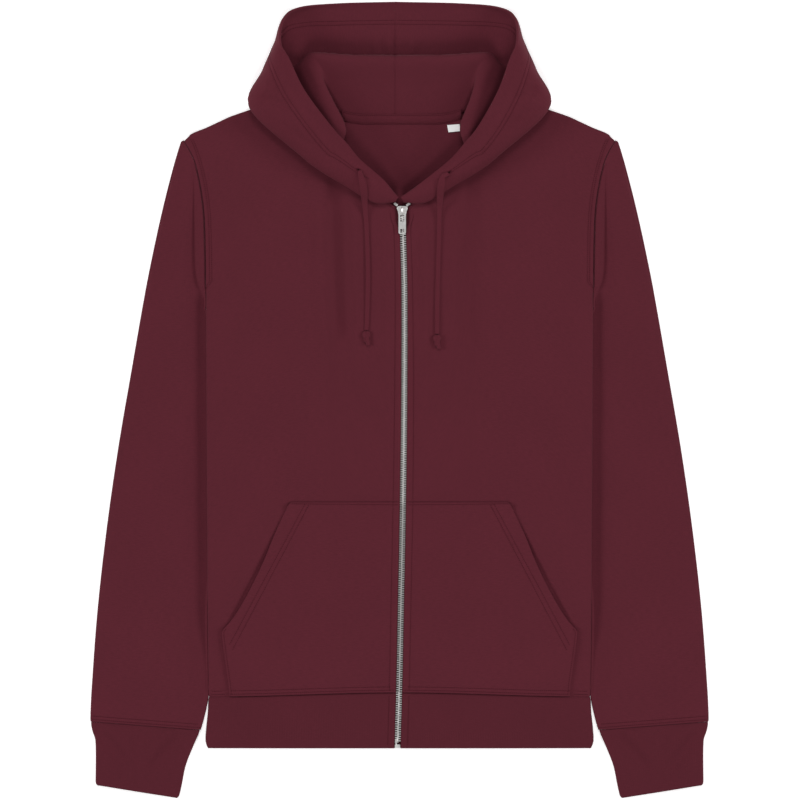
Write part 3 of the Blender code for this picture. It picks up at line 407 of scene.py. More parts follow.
WALE = 1.0                  # millimetres from one column of knit stitches to the next
BRAID_PITCH = 1.3           # millimetres from one strand of a braid to the next
TAPE_PITCH = 1.0
BRAID_SLANT = 40.0          # degrees that the strands slant either way
KNIT_DEPTH = 0.00008        # bump distances, in metres
BRAID_DEPTH = 0.00012
THREAD_DEPTH = 0.00005
LABEL_DEPTH = 0.00003
METAL_DEPTH = 0.00002
# How often each texture repeats in a metre: across the cloth, along it, and through it.
STREAKS = (170.0, 900.0, 1.0)
FINE_GRAIN = (900.0, 1500.0, 1.0)
PATCHES = (14.0, 14.0, 1.0)
STRAND_GRAIN = (900.0, 900.0, 1.0)
LABEL_WEAVE = (600.0, 3000.0, 1.0)
THREAD_TWIST = (2500.0, 2500.0, 2500.0)
RUB_MARKS = (1800.0, 260.0, 900.0)
CLOUDS = (120.0, 120.0, 120.0)


def wave_scale(pitch):
    """The scale at which a wave texture repeats once over a pitch in millimetres."""
    return (2.0 * math.pi * 1000.0 / pitch / 20.0,) * 3


class Finish:
    """A material, and a short call for each kind of node that the materials use."""

    def __init__(self, name):
        self.material = bpy.data.materials.new(name)
        self.material.use_nodes = True
        self.tree = self.material.node_tree
        self.shader = self.tree.nodes["Principled BSDF"]

    def feed(self, node, inputs):
        """Sets inputs, or links them where the value is another node's output."""
        for name, value in inputs.items():
            if isinstance(value, bpy.types.NodeSocket):
                self.tree.links.new(value, node.inputs[name])
            else:
                node.inputs[name].default_value = value

    def shade(self, inputs):
        self.feed(self.shader, inputs)

    def node(self, kind, inputs):
        made = self.tree.nodes.new("ShaderNode" + kind)
        self.feed(made, inputs)
        return made

    def scaled(self, place, scale):
        times = self.node("VectorMath", {0: place, 1: scale})
        times.operation = "MULTIPLY"
        return times.outputs["Vector"]

    def on_cloth(self, scale):
        """Places on the cloth, in metres, times a scale for each direction."""
        place = self.node("Attribute", {})
        place.attribute_name = "cloth"
        return self.scaled(place.outputs["Vector"], scale)

    def on_object(self, scale):
        """The same with places in the object's own space."""
        return self.scaled(self.node("TexCoord", {}).outputs["Object"], scale)

    def noise(self, vector, detail=2.0, roughness=0.6):
        inputs = {"Scale": 1.0, "Detail": detail, "Roughness": roughness, "Vector": vector}
        return self.node("TexNoise", inputs).outputs["Fac"]

    def waves(self, vector, distortion):
        made = self.node("TexWave", {"Scale": 1.0, "Distortion": distortion, "Vector": vector})
        made.wave_type = "BANDS"
        made.bands_direction = "X"
        return made.outputs["Fac"]

    def ranged(self, value, low, high, to_low, to_high):
        inputs = {"From Min": low, "From Max": high, "To Min": to_low, "To Max": to_high, "Value": value}
        return self.node("MapRange", inputs).outputs["Result"]

    def combined(self, operation, first, second):
        made = self.node("Math", {0: first, 1: second})
        made.operation = operation
        return made.outputs[0]

    def colour(self, colour, factor):
        """The surface's colour: one colour times a factor that varies."""
        made = self.node("Mix", {})
        made.data_type = "RGBA"
        made.blend_type = "MULTIPLY"
        self.feed(made, {"Factor": 1.0, 6: (*colour, 1.0), 7: factor})
        self.shade({"Base Color": made.outputs[2]})

    def bump(self, height, distance):
        made = self.node("Bump", {"Strength": 1.0, "Distance": distance, "Height": height})
        self.shade({"Normal": made.outputs["Normal"]})


def cloth_material(name, colour, grain=0.14):
    """Brushed-back knit: short streaks of heather across the cloth, fine columns and a soft nap."""
    finish = Finish(name)
    streaks = finish.noise(finish.on_cloth(STREAKS), 3.0, 0.7)
    fine = finish.noise(finish.on_cloth(FINE_GRAIN), 2.0, 0.6)
    patches = finish.noise(finish.on_cloth(PATCHES), 2.0, 0.5)
    factor = finish.ranged(streaks, 0.25, 0.75, 1.0 - grain, 1.0 + grain)
    fine_factor = finish.ranged(fine, 0.2, 0.8, 1.0 - 0.6 * grain, 1.0 + 0.6 * grain)
    factor = finish.combined("MULTIPLY", factor, fine_factor)
    factor = finish.combined("MULTIPLY", factor, finish.ranged(patches, 0.3, 0.7, 0.975, 1.025))
    finish.colour(colour, factor)
    finish.shade({"Roughness": finish.ranged(fine, 0.2, 0.8, 0.82, 0.96), "Specular IOR Level": 0.15,
                  "Sheen Weight": 0.05, "Sheen Roughness": 0.45, "Sheen Tint": SHEEN_TINT})
    columns = finish.waves(finish.on_cloth(wave_scale(WALE)), 0.4)
    height = finish.combined("ADD", finish.combined("MULTIPLY", columns, 0.35), fine)
    finish.bump(height, KNIT_DEPTH)
    return finish.material


def thread_material(name, colour):
    finish = Finish(name)
    twist = finish.noise(finish.on_object(THREAD_TWIST), 1.0)
    finish.colour(colour, finish.ranged(twist, 0.2, 0.8, 0.85, 1.15))
    finish.shade({"Roughness": 0.85, "Specular IOR Level": 0.1})
    finish.bump(twist, THREAD_DEPTH)
    return finish.material


def braid_material(name, colour, pitch):
    """Two sets of slanted strands that cross, as in a flat braid or a woven tape."""
    finish = Finish(name)
    strands = []
    for way in (1.0, -1.0):
        slant = (0.0, 0.0, way * math.radians(BRAID_SLANT))
        turned = finish.node("Mapping", {"Rotation": slant, "Vector": finish.on_cloth(wave_scale(pitch))})
        strands.append(finish.waves(turned.outputs["Vector"], 0.3))
    height = finish.combined("MAXIMUM", *strands)
    grain = finish.noise(finish.on_cloth(STRAND_GRAIN), 2.0)
    finish.colour(colour, finish.combined("MULTIPLY", finish.ranged(height, 0.0, 1.0, 0.82, 1.08),
                                          finish.ranged(grain, 0.2, 0.8, 0.92, 1.08)))
    finish.shade({"Roughness": 0.9, "Specular IOR Level": 0.12, "Sheen Weight": 0.03})
    finish.bump(height, BRAID_DEPTH)
    return finish.material


def metal_material(name, colour, roughness):
    """Nickel with faint rub marks along the zip."""
    finish = Finish(name)
    rubbed = finish.noise(finish.on_object(RUB_MARKS), 3.0)
    clouds = finish.noise(finish.on_object(CLOUDS), 2.0)
    finish.colour(colour, finish.ranged(clouds, 0.3, 0.7, 0.93, 1.03))
    finish.shade({"Roughness": finish.ranged(rubbed, 0.25, 0.75, roughness - 0.07, roughness + 0.1),
                  "Metallic": 1.0})
    finish.bump(rubbed, METAL_DEPTH)
    return finish.material


def label_material(name, colour):
    """Woven satin, left bare."""
    finish = Finish(name)
    weave = finish.noise(finish.on_object(LABEL_WEAVE), 2.0)
    finish.colour(colour, finish.ranged(weave, 0.2, 0.8, 0.95, 1.0))
    finish.shade({"Roughness": 0.5, "Sheen Weight": 0.1})
    finish.bump(weave, LABEL_DEPTH)
    return finish.material


# ---- cloth shells ----
EDGE_INSET = 0.35           # how far the faces are drawn in, which rounds a cloth edge
LEAST_Z = 0.05              # no cloth goes under the surface that the garment lies on
SEAM_LAP = 0.22             # the middle of an edge reaches this far out, so that sewn edges meet
RIM_SHARE = 0.22            # half height of that middle, as a share of the thickness


def edge_loop(rows, columns):
    """(row, column) of each point round the border of a grid."""
    loop = [(0, c) for c in range(columns)]
    loop += [(r, columns - 1) for r in range(1, rows)]
    loop += [(rows - 1, c) for c in range(columns - 2, -1, -1)]
    loop += [(r, 0) for r in range(rows - 2, 0, -1)]
    return loop


def straight_up(grid):
    """Normals that all point up."""
    up = np.zeros_like(grid)
    up[..., 2] = 1.0
    return up


def grid_normals(grid, like=None):
    """Unit normals of a grid of points, turned to the side of other normals if they are given."""
    normals = unit(np.cross(np.gradient(grid, axis=0), np.gradient(grid, axis=1)))
    if like is not None:
        turn = np.sign(np.sum(normals * like, axis=2, keepdims=True))
        normals = normals * np.where(turn == 0.0, 1.0, turn)
    return normals


def outward(layer):
    """Directions out over the border of a grid, in the cloth."""
    out = np.zeros_like(layer)
    for edge, beside in ((0, 1), (-1, -2)):
        out[edge] += unit(layer[edge] - layer[beside])
        out[:, edge] += unit(layer[:, edge] - layer[:, beside])
    return out


def drawn_in(layer):
    """A grid whose border points are moved in a little."""
    layer = layer.copy()
    for edge, beside in ((0, 1), (-1, -2)):
        layer[edge] += unit(layer[beside] - layer[edge]) * EDGE_INSET
        layer[:, edge] += unit(layer[:, beside] - layer[:, edge]) * EDGE_INSET
    return layer


class Distances:
    """How far each point of a grid lies from the grid's four edges, along the cloth."""

    def __init__(self, grid):
        down = np.linalg.norm(np.diff(grid, axis=0), axis=2)
        across = np.linalg.norm(np.diff(grid, axis=1), axis=2)
        self.top = np.concatenate((np.zeros((1, grid.shape[1])), np.cumsum(down, axis=0)))
        self.first = np.concatenate((np.zeros((grid.shape[0], 1)), np.cumsum(across, axis=1)), axis=1)
        self.bottom = self.top[-1:] - self.top
        self.last = self.first[:, -1:] - self.first


class Shell:
    """A closed wall of cloth around a grid of middle points that are moved out by a relief.

    outer and inner are added to half the thickness on the two faces.
    """

    def __init__(self, name, node, grid, normals, relief, finish, slot,
                 thickness=CLOTH, outer=0.0, inner=0.0):
        self.far = Distances(grid)
        self.middle = grid + normals * relief[..., None]
        self.normals = grid_normals(self.middle, normals)
        self.outer = self.middle + self.normals * (thickness / 2.0 + np.asarray(outer)[..., None])
        self.inner = self.middle - self.normals * (thickness / 2.0 + np.asarray(inner)[..., None])
        for layer in (self.outer, self.inner):
            layer[..., 2] = np.maximum(layer[..., 2], LEAST_Z)
        border = edge_loop(*grid.shape[:2])
        at = tuple(np.array(border).T)
        past = self.middle[at] + outward(self.middle)[at] * SEAM_LAP
        rims = [past + self.normals[at] * (thickness * RIM_SHARE * way) for way in (1.0, -1.0)]
        layers = [drawn_in(layer).reshape(-1, 3) for layer in (self.outer, self.inner)]
        self.made = add_mesh(name, np.concatenate(layers + rims), self.wall_faces(grid, border), finish)
        places = np.stack((self.far.first, -self.far.top), axis=2)
        flat = places.reshape(-1, 2)
        store_cloth_places(self.made, np.concatenate((flat, flat, places[at], places[at])))
        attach(self.made, "garment")
        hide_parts(node)

    def wall_faces(self, grid, border):
        """The two faces of the wall, and three strips round its border."""
        rows, columns = grid.shape[:2]
        count = rows * columns
        index = np.arange(count).reshape(rows, columns)
        corners = (index[:-1, :-1], index[1:, :-1], index[1:, 1:], index[:-1, 1:])
        quads = np.stack(corners, axis=-1).reshape(-1, 4)
        first_normal = np.cross(grid[1, 0] - grid[0, 0], grid[0, 1] - grid[0, 0])
        turned = np.sum(first_normal * self.normals[0, 0]) < 0.0
        if turned:
            quads = quads[:, ::-1]
        faces = quads.tolist() + (quads[:, ::-1] + count).tolist()
        top = [r * columns + c for r, c in border]
        around = len(top)
        rims = [[first + i for i in range(around)] for first in (2 * count, 2 * count + around)]
        strips = [top, *rims, [count + place for place in top]]
        for high, low in zip(strips, strips[1:]):
            for i in range(around):
                j = (i + 1) % around
                face = (high[i], high[j], low[j], low[i])
                faces.append(face[::-1] if turned else face)
        return faces


def spaced(marks):
    """Values from marks of (value, spacing to the next mark): dense where the spacing is small."""
    out = [marks[0][0]]
    for (start, spacing), (end, _) in zip(marks, marks[1:]):
        count = max(int(round(abs(end - start) / spacing)), 1)
        out += [start + (end - start) * (i + 1) / count for i in range(count)]
    return np.array(out)


# ---- creases ----
def crease(x, y, path, width, fade=0.22, flatness=2.0):
    """1 along the middle of a crease through (x, y) points, 0 off it, fading towards both ends."""
    path = np.array(path, float)
    reach = lengths_along(path)
    best = np.full(np.shape(x), np.inf)
    share = np.zeros(np.shape(x))
    for i in range(len(path) - 1):
        way = path[i + 1] - path[i]
        length = np.linalg.norm(way)
        along = ((x - path[i][0]) * way[0] + (y - path[i][1]) * way[1]) / length
        along = np.clip(along, 0.0, length)
        near_x = path[i][0] + way[0] * along / length
        near_y = path[i][1] + way[1] * along / length
        distance = np.hypot(x - near_x, y - near_y)
        closer = distance < best
        best = np.where(closer, distance, best)
        share = np.where(closer, (reach[i] + along) / reach[-1], share)
    ends = blend(0.0, fade, share) * blend(1.0, 1.0 - fade, share)
    return np.exp(-(best / width) ** flatness) * ends


def creased(x, y, table):
    """The sum of a table's creases, rows of (height, half width, path).

    A trough's height is negative, and its bottom is flatter than the top of a ridge.
    """
    total = np.zeros(np.shape(x))
    for height, width, path in table:
        total = total + height * crease(x, y, path, width, flatness=2.0 if height > 0.0 else 3.0)
    return total


def uneven(x, y, height, length, turn=0.0):
    """A broad unevenness of the cloth, as a sum of a few waves about as long as given."""
    x = np.asarray(x) / length
    y = np.asarray(y) / length
    waves = np.sin(2.1 * x + 1.3 * y + turn) * np.cos(1.1 * y - 0.7 * x + 2.0 * turn)
    waves = waves + 0.6 * np.sin(3.7 * y - 1.9 * x + 3.0 * turn + 1.0)
    waves = waves + 0.4 * np.sin(5.1 * x + 2.3 * y - turn)
    return height * waves / 2.0


def stitch_groove(distance, *lines, depth=0.3, width=1.0):
    """Grooves where rows of stitches pull the cloth in."""
    return -sum(depth * bell(distance - line, width) for line in lines)


def seam_dip(distance, depth=0.6, width=2.0):
    """The cloth turns down towards a seam."""
    return -depth * bell(distance, width)


# Rows of (height, half width, path); the path is made of (x, y) points.
FRONT_CREASES = (
    (-3.6, 10.5, ((-66.5, 250.0), (-66.0, 190.0), (-64.5, 120.0), (-60.0, 30.0))),
    (2.7, 9.0, ((-85.5, 240.0), (-84.5, 180.0), (-82.5, 120.0), (-79.0, 40.0))),
    (2.2, 6.5, ((-48.5, 230.0), (-47.5, 180.0), (-46.5, 120.0), (-44.5, 44.0))),
    (1.7, 6.0, ((-24.0, 204.0), (-23.5, 150.0), (-23.0, 90.0), (-24.0, 36.0))),
    (2.0, 5.5, ((27.5, 204.0), (28.0, 150.0), (28.5, 90.0), (27.0, 32.0))),
    (-3.0, 9.5, ((77.0, 248.0), (75.5, 190.0), (74.0, 120.0), (73.0, 28.0))),
    (1.0, 9.0, ((97.0, 236.0), (95.0, 180.0), (93.5, 120.0), (92.0, 44.0))),
    (0.6, 6.0, ((57.5, 230.0), (57.0, 180.0), (56.5, 120.0), (56.0, 44.0))),
    (-0.8, 12.0, ((-120.0, 265.0), (-130.0, 200.0), (-150.0, 130.0))),
    (-0.8, 12.0, ((125.0, 260.0), (140.0, 190.0), (152.0, 120.0))),
    (0.35, 18.0, ((-186.0, 168.0), (-152.0, 138.0), (-104.0, 120.0))),
    (0.3, 18.0, ((184.0, 158.0), (150.0, 126.0), (108.0, 104.0))),
    (0.5, 18.0, ((-180.0, -20.0), (-100.0, -40.0), (-40.0, -30.0))),
    (0.5, 18.0, ((180.0, -50.0), (110.0, -40.0), (50.0, -60.0))),
    (-0.8, 7.0, ((-212.0, 262.0), (-206.0, 240.0), (-202.0, 205.0))),
    (-0.8, 7.0, ((212.0, 262.0), (206.0, 240.0), (202.0, 205.0))),
)
SLANT_LINE = ((-112.0, 118.5), (-245.0, 189.0))     # y and x of the ends of the pocket's mouth
MOUTH_DEPTH = 1.7           # the front sinks by this where the pocket gapes
MOUTH_EDGE = (0.3, -1.7)    # x from the mouth's line where the front starts to sink, and where it has sunk
MOUTH_END = (-34.0, -14.0)  # x from it where the front is level again, and where it starts to rise


def mouth(x, y):
    """The front sinks a little where the pocket gapes, from a sharp edge along the mouth."""
    (top, top_x), (low, low_x) = SLANT_LINE
    share = (top - y) / (top - low)
    line = top_x + (low_x - top_x) * np.clip(share, 0.0, 1.0)
    ends = blend(0.04, 0.3, share) * blend(1.0, 0.86, share)
    across = [blend(line + start, line + end, x) for start, end in (MOUTH_EDGE, MOUTH_END)]
    return -MOUTH_DEPTH * across[0] * across[1] * ends


def front_relief(x, y):
    """Creases and unevenness of the fronts, in world places."""
    calm = blend(3.0, 30.0, np.abs(x - zip_x(y)))
    return creased(x, y, FRONT_CREASES) + uneven(x, y, 0.35, 60.0) * calm


# ---- body ----
FOLD_RADIUS = (EDGE_GAP + CLOTH) / 2.0      # of the middle of the cloth round the side fold
FOLD_LENGTH = math.pi * FOLD_RADIUS
BODY_TOP = 277.0
BODY_LOW = -317.5
BODY_LAST_LEVEL = -296.0
ZIP_STITCH = 10.6 - ZIP_EDGE        # from a front's zip edge to the row of stitches along it
ARMHOLE_STITCHES = (3.2, 5.6)
HEM_STITCHES = (2.4, 5.9)
NECK_STITCH = 2.8


def bend(length, angle, share):
    """Reach and drop along an arc of a set length that starts level and turns down by an angle."""
    angle = np.maximum(angle, 0.02)
    radius = length / angle
    return radius * np.sin(angle * share), radius * (1.0 - np.cos(angle * share))


def turn_angle(y):
    return math.pi * blend(ARMHOLE_END, TUCK_START + 1.0, y)


def return_width(y):
    return SHORT_RETURN + (RETURN - SHORT_RETURN) * blend(TUCK_START, TUCK_FULL, y)


def fold_start(y):
    """x where the front's side starts to turn under."""
    angle = turn_angle(y)
    reach = np.max([bend(FOLD_LENGTH, angle, part)[0] for part in (0.33, 0.67, 1.0)], axis=0)
    wall = CLOTH / 2.0 * blend(0.0, math.pi / 2.0, angle)
    return side_x(y) - SEAM / 2.0 - wall - reach - SHORT_RETURN * (1.0 - blend(0.0, math.pi / 2.0, angle))


def top_edge(neck, p, last_x, neck_share):
    """The top of a panel: its neck edge over the first share, and the shoulder seam after it."""
    p = np.asarray(p, float)
    neck_point = curve(range(len(neck)), neck, p / neck_share * (len(neck) - 1))
    x = SHOULDER[0][0] + (last_x - SHOULDER[0][0]) * (p - neck_share) / (1.0 - neck_share)
    shoulder_point = np.stack((x, y_at(SHOULDER, x)), axis=-1)
    return np.where(p[..., None] < neck_share, neck_point, shoulder_point)


def four_corners(corners, down, across):
    """Points between four corners, the top two and then the low two, each two from left to right."""
    top, low = ((1.0 - across) * corners[first] + across * corners[first + 1] for first in (0, 2))
    return (1.0 - down) * top + down * low


def coons(top, bottom, inner, outer, s, p):
    """Points of the patch between four edges: s runs from top to bottom, p from inner to outer."""
    s = np.asarray(s, float)[:, None, None]
    p_line = np.asarray(p, float)
    p = p_line[None, :, None]
    tops = top(p_line)[None]
    bottoms = bottom(p_line)[None]
    inners = inner(s[:, 0, 0])[:, None]
    outers = outer(s[:, 0, 0])[:, None]
    corners = [edge(np.array([end]))[0] for edge in (top, bottom) for end in (0.0, 1.0)]
    straight = four_corners(corners, s, p)
    return (1.0 - s) * tops + s * bottoms + (1.0 - p) * inners + p * outers - straight


FRONT_LEVELS = spaced(((BODY_TOP, 1.2), (BODY_TOP - 12.0, 3.2), (FOLD_TOP, 2.4), (ARMPIT_LOW, 3.4),
                       (-306.0, 0.9), (BODY_LOW, 0.9)))
FRONT_PLACES = spaced(((0.0, 0.004), (0.06, 0.0135), (0.5, 0.0088), (0.955, 0.0062), (1.0, 0.0062)))
FRONT_FOLD = np.linspace(0.0, 1.0, 9)[1:]
FRONT_RETURN = np.linspace(0.0, 1.0, 18)[1:]
PANEL = len(FRONT_PLACES)   # columns of a front before its side fold
ARMHOLE_INSET = 5.6         # from a front's armhole seam to the last column of its panel
ARMHOLE_AWAY = 8.0          # the seam goes this much further out where the side fold starts
NECK_SHARE = 0.4            # share of a front's top edge that is its neck edge
BACK_NECK_SHARE = 0.45


def body_share(levels):
    return (BODY_TOP - levels) / (BODY_TOP - BODY_LOW)


def body_height(share):
    return BODY_TOP + (BODY_LOW - BODY_TOP) * share


def front_edges(side):
    """The top, bottom, zip edge and side of a front's panel, as points for shares along them."""
    zip_top = FRONT_NECK[0][1]

    def inner(s):
        y = zip_top + (HEM_Y - zip_top) * s
        return np.stack((side * zip_edge(side, y), y), axis=-1)

    def top(p):
        point = top_edge(FRONT_NECK, p, fold_start(BODY_TOP), NECK_SHARE)
        start = side * zip_edge(side, zip_top) - FRONT_NECK[0][0]
        point[:, 0] += start * (1.0 - blend(0.0, 0.1, p))
        return point

    def bottom(p):
        x = side * zip_edge(side, HEM_Y) * (1.0 - p) + fold_start(BODY_LOW) * p
        return np.stack((x, hem_y(x)), axis=-1)

    tip = top(np.array([1.0]))[0, 1] - BODY_TOP

    def outer(s):
        y = body_height(s)
        return np.stack((fold_start(y), y + tip * blend(250.0, BODY_TOP, y)), axis=-1)

    return top, bottom, inner, outer


def front_grid(side):
    """Middle points and normals of a front: its panel, the side fold and the cloth turned under."""
    levels = FRONT_LEVELS
    edges = front_edges(side)
    flat = coons(*edges, body_share(levels), FRONT_PLACES)
    x, y = flat[..., 0], flat[..., 1]
    panel = np.stack((side * x, y, front_mid(x, y)), axis=-1)
    angle = turn_angle(levels)
    start = edges[-1](body_share(levels))
    start_z = front_mid(start[:, 0], start[:, 1])
    beyond = []
    for part in FRONT_FOLD:
        reach, drop = bend(FOLD_LENGTH, angle, part)
        y = start[:, 1] + (levels - start[:, 1]) * part
        beyond.append(np.stack((side * (start[:, 0] + reach), y, start_z - drop), axis=-1))
    end_x = start[:, 0] + bend(FOLD_LENGTH, angle, 1.0)[0]
    end_z = beyond[-1][:, 2]
    for part in FRONT_RETURN:
        x_in = end_x + return_width(levels) * part * np.cos(angle)
        z = end_z - SHORT_RETURN * part * np.sin(angle)
        z = z + np.where(x_in < end_x, under_lift(x_in, levels) - under_lift(end_x, levels), 0.0)
        hem_rise = (hem_y(x_in) - BODY_LOW) * blend(BODY_LAST_LEVEL, BODY_LOW, levels)
        beyond.append(np.stack((side * x_in, levels + hem_rise, z), axis=-1))
    turn = angle[:, None] * np.concatenate((np.zeros(PANEL), FRONT_FOLD, np.ones(len(FRONT_RETURN))))
    normals = np.stack((side * np.sin(turn), np.zeros_like(turn), np.cos(turn)), axis=-1)
    return np.concatenate((panel, np.stack(beyond, axis=1)), axis=1), normals


def hem_swell(distance, height=0.35, middle=9.5):
    """The doubled cloth shows as a low swell beside the stitches of a seam."""
    return height * bell(distance - middle, 3.5)


def add_front(name, side, finish):
    grid, normals = front_grid(side)
    x, y = grid[..., 0], grid[..., 1]
    far = Distances(grid)
    to_fold = far.first[:, PANEL - 1:PANEL] - far.first
    seam = to_fold + ARMHOLE_INSET + ARMHOLE_AWAY * blend(ARMHOLE_END + 4.0, ARMHOLE_END - 8.0, y)
    above = blend(ARMHOLE_END - 4.0, ARMHOLE_END + 4.0, y)
    on_panel = blend(-6.0, 2.0, to_fold)
    relief = front_relief(x, y) * on_panel * blend(0.0, 22.0, far.top) * blend(0.0, 14.0, far.bottom)
    relief = relief * (1.0 - bell(to_fold, 6.0) * 0.8) + mouth(side * x, y) * on_panel
    relief += stitch_groove(far.first, ZIP_STITCH) * blend(200.0, 190.0, y)
    relief += 0.25 * bell(far.first - ZIP_STITCH / 2.0, 2.4) * on_panel
    relief += above * (stitch_groove(seam, *ARMHOLE_STITCHES) + seam_dip(seam, 0.15, 1.6)) * on_panel
    relief += stitch_groove(far.bottom, *HEM_STITCHES) + seam_dip(far.bottom, 0.7, 1.5)
    relief += hem_swell(far.bottom) + seam_dip(far.top, 0.4, 1.6)
    shell = Shell(name, name, grid, normals, relief, finish, "fleece")
    shell.seam = seam
    return shell


BACK_LEVELS = spaced(((BODY_TOP, 3.5), (FOLD_TOP, 3.0), (ARMPIT_LOW, 4.5), (BODY_LOW, 4.5)))
BACK_PLACES = spaced(((0.0, 0.03), (1.0, 0.03)))
FOLD_INSET = FOLD_RADIUS + CLOTH / 2.0 + 2.0 * SEAM


def back_edge(y):
    """x of the back's edge: the armhole seam above, the side seam under the fold below."""
    tucked = blend(FOLD_TOP, ARMHOLE_END - 2.0, y)
    return side_x(y) - SEAM / 2.0 - tucked * (FOLD_INSET + return_width(y))


def add_back(finish):
    def inner(s):
        return np.stack((np.zeros_like(s), BACK_NECK[0][1] + (HEM_Y - BACK_NECK[0][1]) * s), axis=-1)

    def top(p):
        return top_edge(BACK_NECK, p, back_edge(BODY_TOP), BACK_NECK_SHARE)

    def bottom(p):
        x = back_edge(BODY_LOW) * p
        return np.stack((x, hem_y(x)), axis=-1)

    last_y = bottom(np.array([1.0]))[0, 1]

    def outer(s):
        y = body_height(s)
        return np.stack((back_edge(y), y + (last_y - BODY_LOW) * blend(-232.0, BODY_LOW, y)), axis=-1)

    flat = coons(top, bottom, inner, outer, body_share(BACK_LEVELS), BACK_PLACES)
    x, y = flat[..., 0], flat[..., 1]
    half = np.stack((x, y, back_mid(x, y)), axis=-1)
    grid = np.concatenate((half[:, :0:-1] * (-1.0, 1.0, 1.0), half), axis=1)
    return Shell("back_panel", "back", grid, straight_up(grid), np.zeros(grid.shape[:2]), finish, "fleece")


# ---- hem band ----
RIB = 2.6                   # from one rib to the next
RIB_HEIGHT = 0.14
BAND_ROWS = spaced(((0.0, 0.06), (0.06, 0.07), (0.94, 0.03), (1.0, 0.03)))
BAND_COUNT = 318            # points from the zip to a side fold, four or so to a rib
BAND_FOLD = np.linspace(0.0, 1.0, 10)[1:]
BAND_SWELL = 0.3            # the band stands out by this along its middle
BAND_CREASES = (
    (-0.8, 12.0, ((-170.0, -372.0), (-168.0, -350.0), (-160.0, -322.0))),
    (-0.7, 12.0, ((168.0, -372.0), (165.0, -350.0), (158.0, -322.0))),
    (0.4, 14.0, ((-120.0, -368.0), (-105.0, -345.0), (-95.0, -322.0))),
    (0.4, 14.0, ((118.0, -370.0), (108.0, -345.0), (92.0, -322.0))),
    (-0.4, 10.0, ((-60.0, -322.0), (-52.0, -350.0), (-50.0, -372.0))),
    (-0.4, 10.0, ((64.0, -322.0), (56.0, -350.0), (55.0, -372.0))),
)


def rib_height(distance):
    """Height of the ribs at a distance across them."""
    return RIB_HEIGHT * (0.5 + 0.5 * np.cos(2.0 * math.pi * distance / RIB))


def rib_fade(far):
    """The ribs end at the seam and are low where the rib is folded."""
    return blend(0.0, 2.0, far.top) * (0.25 + 0.75 * blend(0.0, 3.0, far.bottom))


def band_row(share):
    """A row of the band, from zip edge to zip edge round the back; share 0 is its seam, 1 its low edge."""
    def row_y(x):
        top = hem_y(x) - SEAM
        return top + (BAND_Y - top) * share

    parts = np.linspace(0.0, 1.0, BAND_COUNT)
    halves = []
    for side in SIDES.values():
        y_side = float(row_y(SIDE[-1][1]))
        start_x = float(side_x(y_side)) - CLOTH / 2.0 - FOLD_RADIUS
        near = side * float(zip_edge(side, row_y(0.0)))
        x = near + (start_x - near) * parts
        front = np.stack((side * x, row_y(x), front_mid(x, row_y(x))), axis=-1)
        reach, drop = bend(FOLD_LENGTH, math.pi, BAND_FOLD)
        turn = np.stack((side * (start_x + reach), np.full(len(BAND_FOLD), y_side),
                         float(front_mid(start_x, y_side)) - drop), axis=-1)
        x = start_x * (1.0 - parts[1:-1])
        rear = np.stack((side * x, row_y(x), back_mid(x, row_y(x))), axis=-1)
        halves.append(np.concatenate((front, turn, rear)))
    middle = np.array([[0.0, float(row_y(0.0)), CLOTH / 2.0]])
    return np.concatenate((halves[0], middle, halves[1][::-1]))


def add_band(finish):
    """The rib band: one strip from zip edge to zip edge, folded at each side."""
    grid = np.array([band_row(share) for share in BAND_ROWS])
    far = Distances(grid)
    normals = grid_normals(grid)
    if normals[1, 5, 2] < 0.0:
        normals = -normals
    x, y, z = grid[..., 0], grid[..., 1], grid[..., 2]
    on_top = blend(3.0, 4.5, z)
    zip_gap = np.minimum(far.first, far.last)
    relief = creased(x, y, BAND_CREASES) * on_top * blend(0.0, 10.0, far.top) * blend(0.0, 8.0, far.bottom)
    relief += seam_dip(far.top, 0.5, 1.8) + stitch_groove(zip_gap, ZIP_STITCH)
    relief += BAND_SWELL * bell(far.top - far.top[-1:] / 2.0, 22.0) * on_top
    ribs = rib_height(far.first) * rib_fade(far) * blend(7.0, 9.0, zip_gap)
    return Shell("rib_band", "hem_band", grid, normals, relief, finish, "rib", outer=ribs)


# ---- sleeves and cuffs ----
INNER_RADIUS = (TUCKED_GAP + CLOTH - 2.0 * SEAM) / 2.0
FOLD_AROUND = np.linspace(0.0, 1.0, 11)
INNER_PARTS = np.array((1.3, 1.0, 0.8, 0.6, 0.4, 0.2))
FULL_WIDTH = 75.0           # a tube that is narrower has its hollow and its rounding scaled down
ROUNDING = 26.0             # the upper wall bends down to the outer fold over this width
ROUND_POWER = 2.4
CUFF_SLANT = 9.0            # the sleeve's section at the cuff comes lower by this at the body
STRIP_RISE = 0.9            # the strip beside the armhole seam rises by this
LOW_MID = 2.5               # the upper wall's middle height at the bottom of the hollow beside that strip
#         y      width of the strip, which stands level with the body
STRIP = ((268.0, 0.2), (262.0, 0.8), (244.0, 3.4), (207.0, 7.4), (170.0, 7.6), (139.0, 6.4), (112.0, 2.0),
         (96.0, 0.0))
#          y      width over which the sleeve rises again from the hollow
VALLEY = ((268.0, 8.0), (240.0, 14.0), (200.0, 19.0), (110.0, 25.0), (-100.0, 28.0), (-240.0, 28.0),
          (SLEEVE_END, 18.0))


def narrowed(last):
    """The scale of a narrow tube's hollow and rounding, from the place of its outer fold."""
    return min(1.0, last / FULL_WIDTH)


def rounded_off(height, outer_z, reach, last):
    """The upper wall's height with its outer part bent down to the fold."""
    rounding = np.clip(1.0 - (last - reach) / (ROUNDING * narrowed(last)), 0.0, 1.0)
    return outer_z + (height - outer_z) * np.sqrt(1.0 - rounding ** ROUND_POWER)


